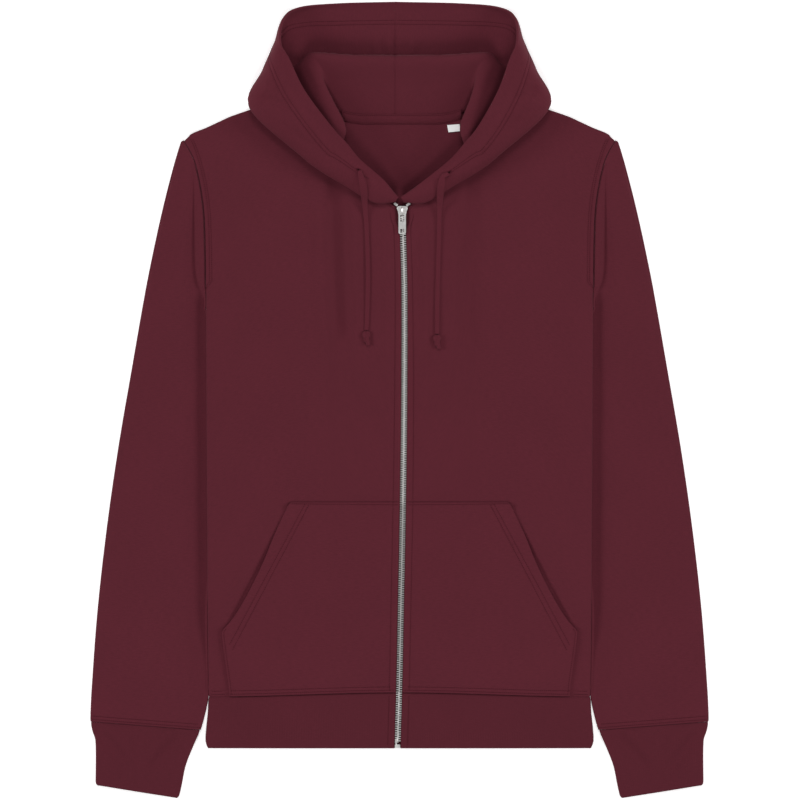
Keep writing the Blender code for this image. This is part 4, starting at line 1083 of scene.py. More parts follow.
def tube_section(side, outer, inner, top_z, fold_radius, closed, inner_z, parts):
    """One section of a flattened tube, its seam at the inner edge; top_z gives the upper wall's height."""
    outer = np.array(outer, float)
    inner = np.array(inner, float)
    angle = math.pi / 2.0 * closed
    length = math.pi / 2.0 * INNER_RADIUS
    reach, drop = bend(length, angle, INNER_PARTS)
    start = bend(length, angle, 1.0)[0]
    width = np.linalg.norm(outer - inner)
    fold_radius = min(fold_radius, 0.36 * width)
    last = width - fold_radius
    tight = min(1.0, 0.7 * last / start)
    start, reach = start * tight, reach * tight
    top_reach = start + (last - start) * parts
    turn = math.pi * FOLD_AROUND
    low = CLOTH / 2.0
    reaches = np.concatenate((start - reach, top_reach, last + fold_radius * np.sin(turn), top_reach[::-1],
                              (start - reach)[::-1]))
    fold_z = low + fold_radius * (1.0 + np.cos(turn))
    heights = np.concatenate((inner_z - drop, top_z(top_reach, last), fold_z, np.full(len(parts), low),
                              low + drop[::-1]))
    flat = inner + (outer - inner) * (reaches / width)[:, None]
    return np.stack((side * flat[:, 0], flat[:, 1], heights), axis=-1)


def sleeve_inner(y):
    """x of the sleeve's inner edge: the armhole seam above, its place under or beside the body below."""
    y = np.asarray(y, float)
    at_seam = side_x(y) + SEAM / 2.0 + 0.1 - 0.3 * bell(y - 108.0, 9.0)
    return np.where(y > TUCKED_EDGE[0][0], at_seam, x_at(TUCKED_EDGE, y))


SLEEVE_LEVELS = spaced(((276.4, 0.8), (268.0, 2.0), (240.0, 3.2), (FOLD_TOP, 2.6), (ARMPIT_LOW, 3.4),
                        (-336.0, 1.0), (SLEEVE_END, 1.0)))
SLEEVE_PARTS = spaced(((0.0, 0.015), (0.35, 0.034), (0.985, 0.034)))
SLEEVE_CREASES = (
    (0.7, 12.0, ((262.0, 120.0), (240.0, 90.0), (224.0, 50.0))),
    (-0.8, 10.0, ((275.0, 60.0), (252.0, 30.0), (232.0, -10.0))),
    (0.6, 14.0, ((290.0, 10.0), (262.0, -20.0), (238.0, -60.0))),
    (-0.7, 12.0, ((300.0, -60.0), (270.0, -80.0), (240.0, -130.0))),
    (0.5, 14.0, ((310.0, -130.0), (280.0, -160.0), (250.0, -220.0))),
    (-0.8, 9.0, ((322.0, -262.0), (300.0, -290.0), (284.0, -330.0))),
    (-0.7, 8.0, ((245.0, -250.0), (250.0, -290.0), (262.0, -335.0))),
)
SLEEVE_TURN = {-1.0: 0.0, 1.0: 1.7}     # the two sleeves' unevenness differs by this
CUFF_STITCHES = (2.4, 5.9)
TIP_SLANT = 1.4             # the sleeve's tip slants down from the shoulder seam


def sleeve_section(side, y):
    """The sleeve's section at y. Near the cuff it slants down towards the body."""
    near_cuff = blend_at(-290.0, SLEEVE_END, y)
    inner_y = y - CUFF_SLANT * blend_at(-215.0, SLEEVE_END, y) + TIP_SLANT * blend_at(262.0, 276.4, y)
    inner_x = float(sleeve_inner(inner_y))
    tucked = blend_at(FOLD_TOP, TUCK_START, y)
    seam_z = float(front_mid(side_x(max(y, TUCK_START)) - 6.0, max(y, FOLD_TOP)))
    inner_z = seam_z + (TUCKED_TOP - CLOTH / 2.0 - seam_z) * tucked
    covered = max(float(side_x(y)) - inner_x, 0.0) * tucked if inner_y > SIDE[-1][0] else 0.0
    fold_radius = 1.05 + 0.65 * blend_at(262.0, 200.0, y)
    strip = float(x_at(STRIP, y))
    valley = float(x_at(VALLEY, y))
    gap = SLEEVE_GAP * blend_at(290.0, 215.0, y) - (SLEEVE_GAP - CUFF_GAP) * near_cuff
    gap = max(gap, 2.0 * fold_radius - CLOTH + 0.1)
    peak = CLOTH + gap + CLOTH / 2.0
    low = min(inner_z, LOW_MID + 0.8 * near_cuff + 0.6 * blend_at(230.0, 262.0, y))
    outer_z = CLOTH / 2.0 + 2.0 * fold_radius
    clear = 1.0 - tucked

    def top_z(reach, last):
        out = reach - covered
        scale = narrowed(last)
        rise = STRIP_RISE * bell(out - strip * 0.55, max(strip * 0.5, 0.6)) * min(strip / 6.0, 1.0)
        crest = inner_z + rise * clear
        height = crest + (low - crest) * blend(strip - 0.6 - 5.0 * tucked, strip + 4.4 * clear, out)
        start = (strip + 3.6 * clear) * scale
        height = height + (peak - height) * blend(start, start + valley * scale, out)
        return rounded_off(height, outer_z, reach, last)

    return tube_section(side, (float(x_at(SLEEVE_OUTER, y)), y), (inner_x, inner_y), top_z, fold_radius,
                        blend_at(TUCK_START, 84.0, y), inner_z, SLEEVE_PARTS)


def tube_grid(rows):
    """Points and normals of a tube; the first and last points of its rows only say how the edges run."""
    grid = np.array(rows)
    normals = grid_normals(grid)
    if normals[grid.shape[0] // 2, grid.shape[1] // 4, 2] < 0.0:
        normals = -normals
    return grid[:, 1:-1], normals[:, 1:-1]


def add_sleeve(name, side, finish):
    grid, normals = tube_grid([sleeve_section(side, y) for y in SLEEVE_LEVELS])
    far = Distances(grid)
    x, y = np.abs(grid[..., 0]), grid[..., 1]
    above = blend(0.1, 0.7, normals[..., 2])
    turn = SLEEVE_TURN[side]
    relief = (creased(x, y + 10.0 * turn, SLEEVE_CREASES) + uneven(x, y, 0.4, 55.0, turn)) * above
    relief = relief * blend(4.0, 26.0, far.first) * blend(0.0, 26.0, far.bottom) * blend(268.0, 230.0, y)
    relief += stitch_groove(far.bottom, *CUFF_STITCHES) + seam_dip(far.bottom, 0.6, 1.5)
    relief += hem_swell(far.bottom, middle=9.0) * above
    return Shell(name + "_cloth", name, grid, normals, relief, finish, "fleece")


CUFF_ROWS = spaced(((0.0, 0.05), (0.06, 0.055), (0.94, 0.03), (1.0, 0.03)))
CUFF_ROUND = 1.8            # the cuff's lower corners are rounded by this
CUFF_FOLD = 1.7             # radius of the cuff's outer fold
CUFF_STEP = 0.0058          # share of the cuff's width between points, four or so to a rib
CUFF_CREASES = (
    (-1.9, 7.5, ((224.0, -350.0), (238.0, -364.0), (256.0, -384.0), (270.0, -404.0))),
    (1.3, 9.0, ((236.0, -348.0), (256.0, -364.0), (276.0, -386.0))),
    (-1.8, 7.5, ((327.0, -350.0), (312.0, -366.0), (297.0, -388.0), (286.0, -406.0))),
    (1.2, 9.0, ((316.0, -346.0), (302.0, -360.0), (286.0, -380.0))),
    (-0.9, 9.0, ((276.0, -350.0), (277.0, -364.0), (276.0, -378.0))),
)


def cuff_section(side, share):
    """The cuff's section at a share of the way from its seam to its low edge."""
    edge_z = TUCKED_TOP - CLOTH / 2.0
    peak = CLOTH + CUFF_GAP + CLOTH / 2.0
    outer_z = CLOTH / 2.0 + 2.0 * CUFF_FOLD

    def top_z(reach, last):
        scale = narrowed(last)
        height = edge_z + (peak - edge_z) * blend(9.0 * scale, 42.0 * scale, reach)
        return rounded_off(height, outer_z, reach, last)

    ends = []
    for table, way in ((CUFF_OUTER, -1.0), (CUFF_INNER, 1.0)):
        y = table[0][0] - SEAM + (table[-1][0] - table[0][0]) * share
        ends.append((float(x_at(table, y)) + way * CUFF_ROUND * blend_at(0.96, 1.0, share), y))
    parts = spaced(((0.0, CUFF_STEP), (0.99, CUFF_STEP)))
    return tube_section(side, *ends, top_z, CUFF_FOLD, 1.0, edge_z, parts)


def add_cuff(name, side, finish):
    grid, normals = tube_grid([cuff_section(side, share) for share in CUFF_ROWS])
    far = Distances(grid)
    x, y = np.abs(grid[..., 0]), grid[..., 1]
    above = blend(0.1, 0.7, normals[..., 2])
    relief = creased(x, y, CUFF_CREASES) * above * blend(0.0, 6.0, far.top) * blend(0.0, 10.0, far.bottom)
    relief += seam_dip(far.top, 0.4, 1.6)
    ribs = rib_height(far.first[len(CUFF_ROWS) // 2][None]) * rib_fade(far)
    return Shell(name + "_rib", name, grid, normals, relief, finish, "rib", outer=ribs)


# ---- pockets ----
POCKET_LOW = -312.6
POCKET_LEVELS = spaced(((-109.5, 0.8), (-114.0, 2.8), (-240.0, 1.6), (-254.0, 2.8), (-304.0, 0.9),
                        (POCKET_LOW, 0.9)))
POCKET_PLACES = spaced(((0.0, 0.008), (0.1, 0.02), (0.78, 0.012), (1.0, 0.012)))
POCKET_TOP_STITCH = 2.6
POCKET_SIDE_STITCH = 2.0
POCKET_HEM_STITCHES = (17.0, 21.4)      # measured level from the slanted edge
SLANT_TOP = -111.0
SLANT_LOW = -246.0
STITCH_TOP = -112.5         # the stitched rows along the slanted opening start at this height
# They go on past its lower end: y there, and x.
SLANT_END = ((-265.0, 183.6), (-270.5, 180.5))


def slant_stitch_x(line, y):
    """x of a stitched row beside the slanted opening."""
    x_top = float(x_at(POCKET_SIDE, STITCH_TOP)) - POCKET_HEM_STITCHES[line]
    end_y, end_x = SLANT_END[line]
    return x_top + (end_x - x_top) * (y - STITCH_TOP) / (end_y - STITCH_TOP)


def add_pocket(name, side, finish):
    levels = POCKET_LEVELS[:, None]
    near = side * zip_edge(side, levels)
    x = near + (x_at(POCKET_SIDE, levels) - near) * POCKET_PLACES[None]
    y = levels + (hem_y(x) + SEAM - POCKET_LOW) * blend(POCKET_LOW + 9.0, POCKET_LOW, levels)
    under = front_mid(x, y) + front_relief(side * x, y) * blend(0.0, 14.0, y - hem_y(x)) + CLOTH / 2.0
    grid = np.stack((side * x, y, under + POCKET_LAY + CLOTH / 2.0), axis=-1)
    far = Distances(grid)
    relief = 0.3 * bell(far.top - 4.5, 3.0) + seam_dip(far.top, 0.55, 2.2)
    relief += stitch_groove(far.top, POCKET_TOP_STITCH, depth=0.25)
    relief += stitch_groove(far.first, ZIP_STITCH) + stitch_groove(far.bottom, *HEM_STITCHES)
    relief += seam_dip(far.bottom, 0.6, 1.5) + hem_swell(far.bottom, height=0.3)
    slanted = blend(SLANT_LOW - 22.0, SLANT_LOW - 18.0, y) * blend(-108.0, -113.0, y)
    relief += 0.35 * blend(0.0, 2.0, x - slant_stitch_x(1, y)) * slanted
    for line in (0, 1):
        relief += stitch_groove(x - slant_stitch_x(line, y), 0.0, width=1.1) * slanted
    open_edge = blend(SLANT_LOW, SLANT_LOW + 14.0, y) * blend(SLANT_TOP - 1.0, SLANT_TOP - 10.0, y)
    relief += seam_dip(far.last, 1.5, 9.0) * open_edge
    sewn_side = blend(SLANT_LOW + 2.0, SLANT_LOW - 4.0, y)
    relief += (seam_dip(far.last, 0.5, 1.6) + stitch_groove(far.last, POCKET_SIDE_STITCH)) * sewn_side
    inside = blend(0.0, 20.0, far.top) * blend(0.0, 20.0, far.bottom)
    relief += uneven(side * x, y, 0.3, 38.0, 0.8 + side) * inside
    return Shell(name + "_cloth", name, grid, straight_up(grid), relief, finish, "fleece")


# ---- hood ----
# Sections of the left half from its face edge to the neck seam, each point (x, y, z):
#   edge, brow, crest, outer fold, under, floor, valley, lip, ridge, fall, seam.
HOOD = (
    ("zip corner", (-1.6, 216.6, 12.2), (-2.3, 215.7, 12.9), (-3.2, 214.2, 12.9), (-4.1, 212.6, 11.7),
     (-4.2, 212.0, 10.0), (-3.9, 212.5, 8.8), (-3.6, 213.1, 8.4), (-3.2, 213.8, 8.2),
     (-2.9, 214.5, 8.2), (-2.6, 215.2, 8.2), (-2.3, 215.9, 8.2)),
    ("low collar", (-17.7, 235.4, 16.5), (-20.5, 229.8, 18.2), (-24.5, 220.6, 16.5), (-27.5, 212.8, 12.4),
     (-27.8, 211.8, 10.3), (-26.7, 213.3, 8.9), (-25.7, 214.8, 8.6), (-24.9, 215.9, 8.5),
     (-24.4, 216.8, 8.4), (-23.9, 217.6, 8.3), (-23.4, 218.4, 8.2)),
    ("collar", (-42.3, 256.8, 21.0), (-46.5, 251.5, 23.4), (-55.0, 239.5, 20.5), (-60.6, 231.2, 14.5),
     (-59.7, 232.3, 10.7), (-58.4, 234.1, 9.4), (-57.2, 235.8, 9.0), (-56.1, 237.3, 8.8),
     (-55.1, 238.7, 8.6), (-54.1, 240.1, 8.5), (-53.1, 241.5, 8.3)),
    ("fold start", (-57.0, 274.5, 23.5), (-63.5, 268.0, 26.5), (-77.0, 251.5, 22.5), (-84.0, 245.0, 16.5),
     (-82.4, 246.6, 11.5), (-80.2, 248.8, 9.7), (-77.4, 251.4, 10.2), (-74.2, 254.2, 12.4),
     (-69.2, 258.4, 13.6), (-67.0, 260.4, 11.0), (-68.6, 259.6, 8.0)),
    ("high collar", (-72.2, 291.0, 26.0), (-81.9, 283.6, 30.0), (-100.0, 266.4, 23.0), (-106.5, 262.2, 15.0),
     (-102.2, 264.8, 9.8), (-93.6, 270.7, 9.0), (-82.0, 277.8, 11.6), (-69.0, 285.4, 17.0),
     (-57.6, 288.6, 14.2), (-66.0, 284.6, 9.6), (-80.5, 276.5, 6.9)),
    ("shoulder", (-101.1, 329.6, 31.0), (-114.0, 324.2, 34.0), (-147.1, 315.7, 24.0), (-160.0, 313.0, 14.5),
     (-153.5, 311.4, 8.2), (-134.3, 313.5, 7.2), (-112.2, 318.7, 9.5), (-83.0, 322.1, 19.8),
     (-71.8, 320.6, 16.4), (-76.8, 315.0, 10.4), (-85.0, 301.0, 5.0)),
    ("side", (-117.2, 362.7, 34.0), (-127.9, 360.6, 34.5), (-140.7, 355.2, 26.0), (-146.1, 352.0, 14.5),
     (-141.8, 348.8, 7.2), (-131.1, 342.4, 5.0), (-115.3, 341.2, 9.0), (-93.1, 345.0, 21.4),
     (-82.9, 343.5, 20.2), (-81.0, 330.5, 12.5), (-88.0, 314.0, 4.9)),
    ("kink", (-126.8, 382.0, 31.0), (-130.5, 381.5, 26.0), (-132.9, 380.9, 18.0), (-133.0, 379.9, 9.5),
     (-130.0, 374.6, 4.2), (-120.4, 358.2, 4.8), (-112.9, 356.2, 9.6), (-99.6, 358.8, 21.0),
     (-87.2, 359.0, 22.0), (-79.0, 338.5, 14.0), (-83.5, 319.0, 4.7)),
    ("corner", (-123.1, 407.7, 20.0), (-124.4, 406.6, 15.0), (-124.0, 404.5, 9.0), (-121.4, 400.2, 4.8),
     (-101.8, 359.1, 2.0), (-97.4, 353.2, 5.4), (-100.0, 359.7, 9.4), (-98.1, 369.2, 18.5),
     (-87.2, 364.9, 23.4), (-73.4, 342.0, 14.5), (-74.0, 311.5, 3.6)),
    ("crown side", (-106.5, 419.4, 11.0), (-105.8, 417.7, 8.0), (-104.3, 414.1, 5.0), (-101.1, 406.6, 2.6),
     (-79.4, 346.5, 1.7), (-77.0, 340.3, 5.0), (-79.2, 346.6, 8.6), (-84.1, 370.2, 17.5),
     (-76.5, 364.9, 23.5), (-61.5, 340.3, 14.0), (-57.2, 303.4, 3.0)),
    ("crown", (-66.9, 424.1, 6.0), (-66.4, 421.6, 4.4), (-65.8, 416.2, 2.8), (-63.7, 404.5, 1.4),
     (-49.5, 337.5, 1.4), (-48.0, 331.4, 4.7), (-49.5, 337.7, 8.3), (-53.0, 368.1, 17.0),
     (-48.7, 363.3, 23.0), (-40.1, 338.1, 13.8), (-35.8, 300.2, 2.9)),
    ("middle", (-5.1, 426.0, 4.0), (-5.1, 423.2, 3.2), (-5.1, 417.3, 2.0), (-5.1, 404.5, 1.1),
     (-5.1, 335.6, 1.4), (-5.1, 329.6, 4.7), (-5.1, 335.9, 8.2), (-5.1, 367.5, 16.5),
     (-5.1, 362.7, 22.4), (-5.1, 337.1, 13.5), (-5.1, 299.6, 2.8)),
)
# The opening lies over to the right: the right half's face edge and its inner lobe are this much
# further out at each station, and its outer fold and seam aren't.
EDGE_SHIFT = (0.0, 10.0, 12.0, 13.0, 11.5, 4.0, 0.0, -2.0, 0.0, 0.0, 0.0, 0.0)
LOBE_SHIFT = (0.0, 0.0, 0.0, 3.0, 9.0, 4.0, 0.0, 0.0, 0.0, 0.0, 0.0, 0.0)
EDGE_PART = (0.3, 0.05)     # shares of a section between which the face edge's shift comes in
LOBE_START = (0.56, 0.78)   # and those of the lobe's shift, on its two sides
LOBE_STOP = (1.0, 0.84)
HOOD_ROWS = 191
HOOD_HEM = 21.7             # width of the doubled hem round the face
HOOD_STITCHES = (19.6, 23.8)
HEM_SPACING = spaced(((0.0, 1.0), (2.0, 2.6), (18.0, 0.85), (25.2, 0.85)))
HOOD_REST = 66              # columns from the hem to the neck seam
HEM_PART = 0.3              # the hem takes at most about this share of a section
HOOD_FINE = 241             # points along a section that measure its length
HOOD_STEP = 0.002           # share of the way to the points that give a normal


def hood_points(side, u, v):
    """Points in the middle of a half's cloth: u from zip to crown, v from face edge to neck seam."""
    u = np.ravel(u)
    v = np.ravel(v)
    along = []
    for station in HOOD:
        points = np.array(station[1:])
        lengths = lengths_along(points)
        place = np.clip(v, 0.0, 1.0) * (len(points) - 1)
        index = np.minimum(place.astype(int), len(points) - 2)
        key = lengths[index] + (lengths[index + 1] - lengths[index]) * (place - index)
        along.append(curve(lengths, points, key))
    along = np.array(along)
    keys = np.arange(len(HOOD), dtype=float)
    slopes = slopes_at(keys, along)
    place = np.clip(u, 0.0, 1.0) * (len(HOOD) - 1)
    index = np.minimum(place.astype(int), len(HOOD) - 2)
    each = np.arange(len(u))
    out = hermite(along[index, each], along[index + 1, each], slopes[index, each], slopes[index + 1, each],
                  (place - index)[:, None], 1.0)
    if side > 0.0:
        x = out[:, 0]
        shift = 2.0 * CENTRE_SEAM * blend(80.0, -CENTRE_SEAM, -x) * blend(270.0, 299.0, out[:, 1])
        out[:, 0] = -x + shift + blend(*EDGE_PART, v) * curve(keys, EDGE_SHIFT, place)
        out[:, 0] += blend(*LOBE_START, v) * blend(*LOBE_STOP, v) * curve(keys, LOBE_SHIFT, place)
    out[:, 2] = np.maximum(out[:, 2], CLOTH / 2.0 + 0.02)
    return out


HOOD_CREASES = (
    (-1.5, 5.5, ((-152.0, 322.0), (-130.0, 318.0), (-108.0, 306.0))),
    (1.1, 7.0, ((-148.0, 336.0), (-130.0, 334.0), (-112.0, 324.0))),
    (-1.0, 5.0, ((-118.0, 290.0), (-104.0, 280.0), (-88.0, 268.0))),
    (-1.5, 5.5, ((150.0, 334.0), (130.0, 326.0), (112.0, 320.0))),
    (1.2, 6.5, ((150.0, 322.0), (130.0, 312.0), (110.0, 302.0))),
    (-1.2, 6.0, ((134.0, 302.0), (114.0, 290.0), (96.0, 284.0))),
)
# Gathers where the crown leans over the back, beside the middle seam.
GATHERS = (
    (-0.3, 3.2, ((-17.0, 398.0), (-19.0, 382.0), (-17.0, 364.0))),
    (1.3, 3.6, ((-24.5, 395.0), (-26.0, 380.0), (-24.5, 366.0))),
    (-0.3, 3.0, ((5.5, 400.0), (7.5, 384.0), (6.0, 366.0))),
    (-0.2, 3.0, ((19.0, 392.0), (21.0, 380.0), (19.5, 366.0))),
    (1.8, 4.6, ((-10.5, 398.0), (-11.5, 381.0), (-10.0, 364.0))),
    (1.5, 4.4, ((13.5, 394.0), (14.5, 381.0), (13.0, 366.0))),
)


def hood_columns(side, u):
    """Where each row's points lie along it, 0 to 1: close over the hem, then evenly spaced."""
    fine = np.linspace(0.0, 1.0, HOOD_FINE)
    every = hood_points(side, np.repeat(u, len(fine)), np.tile(fine, len(u))).reshape(len(u), len(fine), 3)
    rows = []
    for reach in Distances(every).first:
        hem = HEM_SPACING * min(1.0, HEM_PART * reach[-1] / HEM_SPACING[-1])
        rest = hem[-1] + (reach[-1] - hem[-1]) * np.linspace(0.0, 1.0, HOOD_REST + 1)[1:]
        rows.append(np.interp(np.concatenate((hem, rest)), reach, fine))
    return np.array(rows)


def hood_normals(side, u, v):
    """Normals from points a small step away on either side."""
    along = (hood_points(side, np.minimum(u + HOOD_STEP, 1.0), v)
             - hood_points(side, np.maximum(u - HOOD_STEP, 0.0), v))
    across = (hood_points(side, u, np.minimum(v + HOOD_STEP, 1.0))
              - hood_points(side, u, np.maximum(v - HOOD_STEP, 0.0)))
    return unit(np.cross(along, across)).reshape(*v.shape, 3)


def add_hood(name, side, finish):
    rows = np.linspace(0.0, 1.0, HOOD_ROWS)
    v = hood_columns(side, rows)
    u = np.repeat(rows[:, None], v.shape[1], axis=1)
    grid = hood_points(side, u, v).reshape(*v.shape, 3)
    normals = hood_normals(side, u, v)
    far = Distances(grid)
    x, y, z = grid[..., 0], grid[..., 1], grid[..., 2]
    whole = far.first[:, -1:]
    scale = np.minimum(1.0, HEM_PART * whole / HEM_SPACING[-1])     # the hem is narrower in a short section
    fits = blend(45.0, 90.0, whole)
    hem = blend(HOOD_HEM * scale + 1.6, HOOD_HEM * scale - 1.2, far.first)
    lines = sum(bell(far.first - line * scale, 0.9) for line in HOOD_STITCHES)
    upper = blend(9.0, 14.0, z) * blend(-0.2, 0.5, np.abs(normals[..., 2]))
    relief = creased(x, y, HOOD_CREASES) * upper * blend(12.0, 40.0, far.first)
    relief = relief * np.sign(np.where(normals[..., 2] == 0.0, 1.0, normals[..., 2]))
    inside_up = np.sign(normals[-1:, 3:4, 2])
    relief += creased(x, y, GATHERS) * blend(14.0, 3.0, z) * blend(0.7, 0.9, u) * inside_up
    hidden = (0.45 * hem - 0.3 * lines) * fits - 0.2 * bell(far.last, 1.8)
    seen = hidden - 0.95 * bell(far.bottom, 1.3) * blend(0.5, 0.9, u)
    if inside_up.item() < 0.0:
        seen, hidden = hidden, seen
    shell = Shell(name + "_cloth", name, grid, normals, relief, finish, "fleece", outer=seen, inner=hidden)
    shell.scale = scale[:, 0]
    return shell


# ---- neck ----
#                  y      z
NECK_TAPE_ROWS = ((305.5, 6.0), (301.0, 4.6), (295.5, 2.2))
NECK_TAPE_SHARES = (0.0, 0.45, 1.0)
NECK_TAPE_ENDS = (-62.0, 66.0)
NECK_TAPE = 0.5
NECK_TAPE_STITCH = 1.2
LABEL_CORNERS = ((51.3, 294.2), (64.2, 295.2), (52.6, 286.8), (65.2, 288.0))
LABEL_THICK = 0.4


def add_neck_tape(finish):
    x = np.linspace(*NECK_TAPE_ENDS, 110)
    rise = np.maximum(y_at(BACK_NECK, x) - BACK_NECK[1][1], 0.0)
    rows = []
    for share in np.linspace(0.0, 1.0, 14):
        y, z = curve(NECK_TAPE_SHARES, NECK_TAPE_ROWS, share)
        rows.append(np.stack((x, y + rise, np.full(len(x), z)), axis=-1))
    grid = np.array(rows)
    normals = grid_normals(grid)
    normals = normals * np.sign(normals[5, 5, 2])
    far = Distances(grid)
    relief = 0.25 * np.sin(math.pi * far.top / far.top[-1:])
    for distance in (far.top, far.bottom):
        relief += stitch_groove(distance, NECK_TAPE_STITCH, depth=0.2)
    return Shell("neck_band", "neck_tape", grid, normals, relief, finish, "tape", thickness=NECK_TAPE)


def add_label(finish):
    """The small woven label at the neck, left bare, its lower edge lifting a little."""
    corners = np.array(LABEL_CORNERS)
    s, t = np.meshgrid(np.linspace(0.0, 1.0, 17), np.linspace(0.0, 1.0, 11), indexing="xy")
    z = CLOTH + LAY + 0.25 + 0.5 * t ** 2 + 0.15 * np.sin(3.0 * s)
    flat = four_corners(corners, t[..., None], s[..., None])
    grid = np.concatenate((flat, z[..., None]), axis=2)
    return Shell("blank_label", "neck_label", grid, straight_up(grid), np.zeros(z.shape), finish, "label",
                 thickness=LABEL_THICK)


# ---- sewing ----
STITCH = 1.3                # length of a stitch where it shows
STITCH_PITCH = 2.2
LEAST_STITCH = 0.2
THREAD = 0.34               # half a thread's width
STITCH_SIDES = 5
STITCH_RINGS = ((0.0, 0.35), (0.22, 1.0), (0.78, 1.0), (1.0, 0.35))     # share of the length, size
STITCH_SINK = 0.12          # the thread's middle starts this far under the cloth's face


ZIP_STITCH_TOP = 200.0      # the row along the zip ends here beside the slider
ARMHOLE_SEWN = ARMHOLE_END - 14.0       # the rows along the armhole end at this height
POCKET_COVERS = 183.0       # the pockets cover the fronts' hem stitches out to this x
HOOD_SEWN = 14              # the hood's stitches start this many rows from the zip


def at_key(key, keys, rows):
    """The row of a table at a key between its rows."""
    return np.array([np.interp(key, keys, rows[:, axis]) for axis in range(3)])


class Sewing:
    """Stitches collected from many rows, joined in one mesh."""

    def __init__(self):
        self.vertices = []
        self.faces = []

    def stitch(self, start, end, normal):
        way = end - start
        length = np.linalg.norm(way)
        if length < LEAST_STITCH:
            return
        way = way / length
        across = unit(np.cross(normal, way))
        upward = np.cross(way, across)
        angles = 2.0 * math.pi * np.arange(STITCH_SIDES) / STITCH_SIDES
        first = len(self.vertices)
        for share, size in STITCH_RINGS:
            arch = THREAD * (0.25 + 0.75 * math.sin(math.pi * share))
            middle = start + way * length * share + normal * (arch - STITCH_SINK)
            for angle in angles:
                out = across * math.cos(angle) + upward * math.sin(angle)
                self.vertices.append(middle + THREAD * size * out)
        self.faces += tube_faces(len(STITCH_RINGS), STITCH_SIDES, first)

    def row(self, points, normals, offset=0.0, keep=lambda point: True):
        """A row of stitches along those points of a line on the cloth that pass a test."""
        kept = [i for i, point in enumerate(points) if keep(point)]
        points, normals = points[kept], unit(normals[kept])
        reach = lengths_along(points)
        at = offset
        while at + STITCH < reach[-1]:
            normal = unit(at_key(at + STITCH / 2.0, reach, normals))
            self.stitch(at_key(at, reach, points), at_key(at + STITCH, reach, points), normal)
            at += STITCH_PITCH

    def make(self, name, finish):
        made = add_mesh(name, np.array(self.vertices), self.faces, finish)
        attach(made, "garment")


def crossing(layer, facing, distance, value, rows):
    """Points and normals where the picked rows of a layer come to a distance."""
    points, normals = [], []
    values = np.broadcast_to(value, (len(layer),))
    for row in range(len(layer))[rows]:
        order = np.argsort(distance[row])
        keys = distance[row, order]
        points.append(at_key(values[row], keys, layer[row, order]))
        normals.append(at_key(values[row], keys, facing[row, order]))
    return np.array(points), np.array(normals)


def line_down(shell, distance, value, columns=slice(None)):
    """A line on a shell at a distance counted down its columns."""
    return crossing(shell.outer.swapaxes(0, 1), shell.normals.swapaxes(0, 1), distance.T, value, columns)


def line_across(shell, distance, value, rows=slice(None), under=False):
    """A line on a shell at a distance counted along its rows. value may differ from row to row."""
    if under:
        return crossing(shell.inner, -shell.normals, distance, value, rows)
    return crossing(shell.outer, shell.normals, distance, value, rows)


def sew_fronts(sewing, fronts):
    neck = int(np.searchsorted(FRONT_PLACES, NECK_SHARE))
    for shell in fronts:
        sewing.row(*line_across(shell, shell.far.first, ZIP_STITCH),
                   keep=lambda p: POCKET_SIDE[0][0] + 0.5 < p[1] < ZIP_STITCH_TOP)
        for line in ARMHOLE_STITCHES:
            sewing.row(*line_across(shell, -shell.seam, -line), line, lambda p: p[1] > ARMHOLE_SEWN)
        for line in HEM_STITCHES:
            sewing.row(*line_down(shell, shell.far.bottom, line, slice(0, PANEL)), line,
                       lambda p: abs(p[0]) > POCKET_COVERS)
        sewing.row(*line_down(shell, shell.far.top, NECK_STITCH, slice(1, neck)))


def sew_pockets(sewing, pockets):
    for shell in pockets:
        sewing.row(*line_down(shell, shell.far.top, POCKET_TOP_STITCH, slice(2, -1)))
        sewing.row(*line_across(shell, shell.far.first, ZIP_STITCH), keep=lambda p: p[1] > POCKET_LOW + 1.0)
        sewing.row(*line_across(shell, shell.far.last, POCKET_SIDE_STITCH),
                   keep=lambda p: p[1] < SLANT_LOW + 2.0)
        for line in HEM_STITCHES:
            sewing.row(*line_down(shell, shell.far.bottom, line), line)
        for line, (end_y, _) in enumerate(SLANT_END):
            distance = np.abs(shell.middle[..., 0]) - slant_stitch_x(line, shell.middle[..., 1])
            sewing.row(*line_across(shell, distance, 0.0), line, lambda p: end_y < p[1] < SLANT_TOP)


def sew_band(sewing, shell):
    for distance in (shell.far.first, shell.far.last):
        sewing.row(*line_across(shell, distance, ZIP_STITCH, slice(1, -1)))


def sew_hood(sewing, hoods):
    for shell in hoods:
        for line in HOOD_STITCHES:
            for under in (False, True):
                value = line * shell.scale
                sewing.row(*line_across(shell, shell.far.first, value, slice(HOOD_SEWN, None), under), line)


def sew_sleeves(sewing, sleeves):
    for shell in sleeves:
        for line in CUFF_STITCHES:
            sewing.row(*line_down(shell, shell.far.bottom, line), line)


def sew_neck(sewing, shell):
    for distance in (shell.far.top, shell.far.bottom):
        sewing.row(*line_down(shell, distance, NECK_TAPE_STITCH))


# The buttonhole that each cord leaves by: its middle, and the way that it runs.
BUTTONHOLES = {"left": ((-42.4, 244.4), (0.80, -0.60)), "right": ((51.7, 241.9), (0.80, 0.60))}
BUTTONHOLE = (4.6, 1.9)     # half length and half width of its stitched rim
SLIT = (3.4, 0.75)
RIM_STITCHES = 34
SLIT_POINTS = 24
RIM_LIFT = 0.1              # of the rim's stitches over the cloth
SLIT_LIFT = 0.06
SLIT_DEPTH = 0.3
SIDE_REACH = 2.0            # the cloth's tilt across a buttonhole is taken this far to either side
NEAR = 1.6                  # points of the cloth this near to a place give its height there


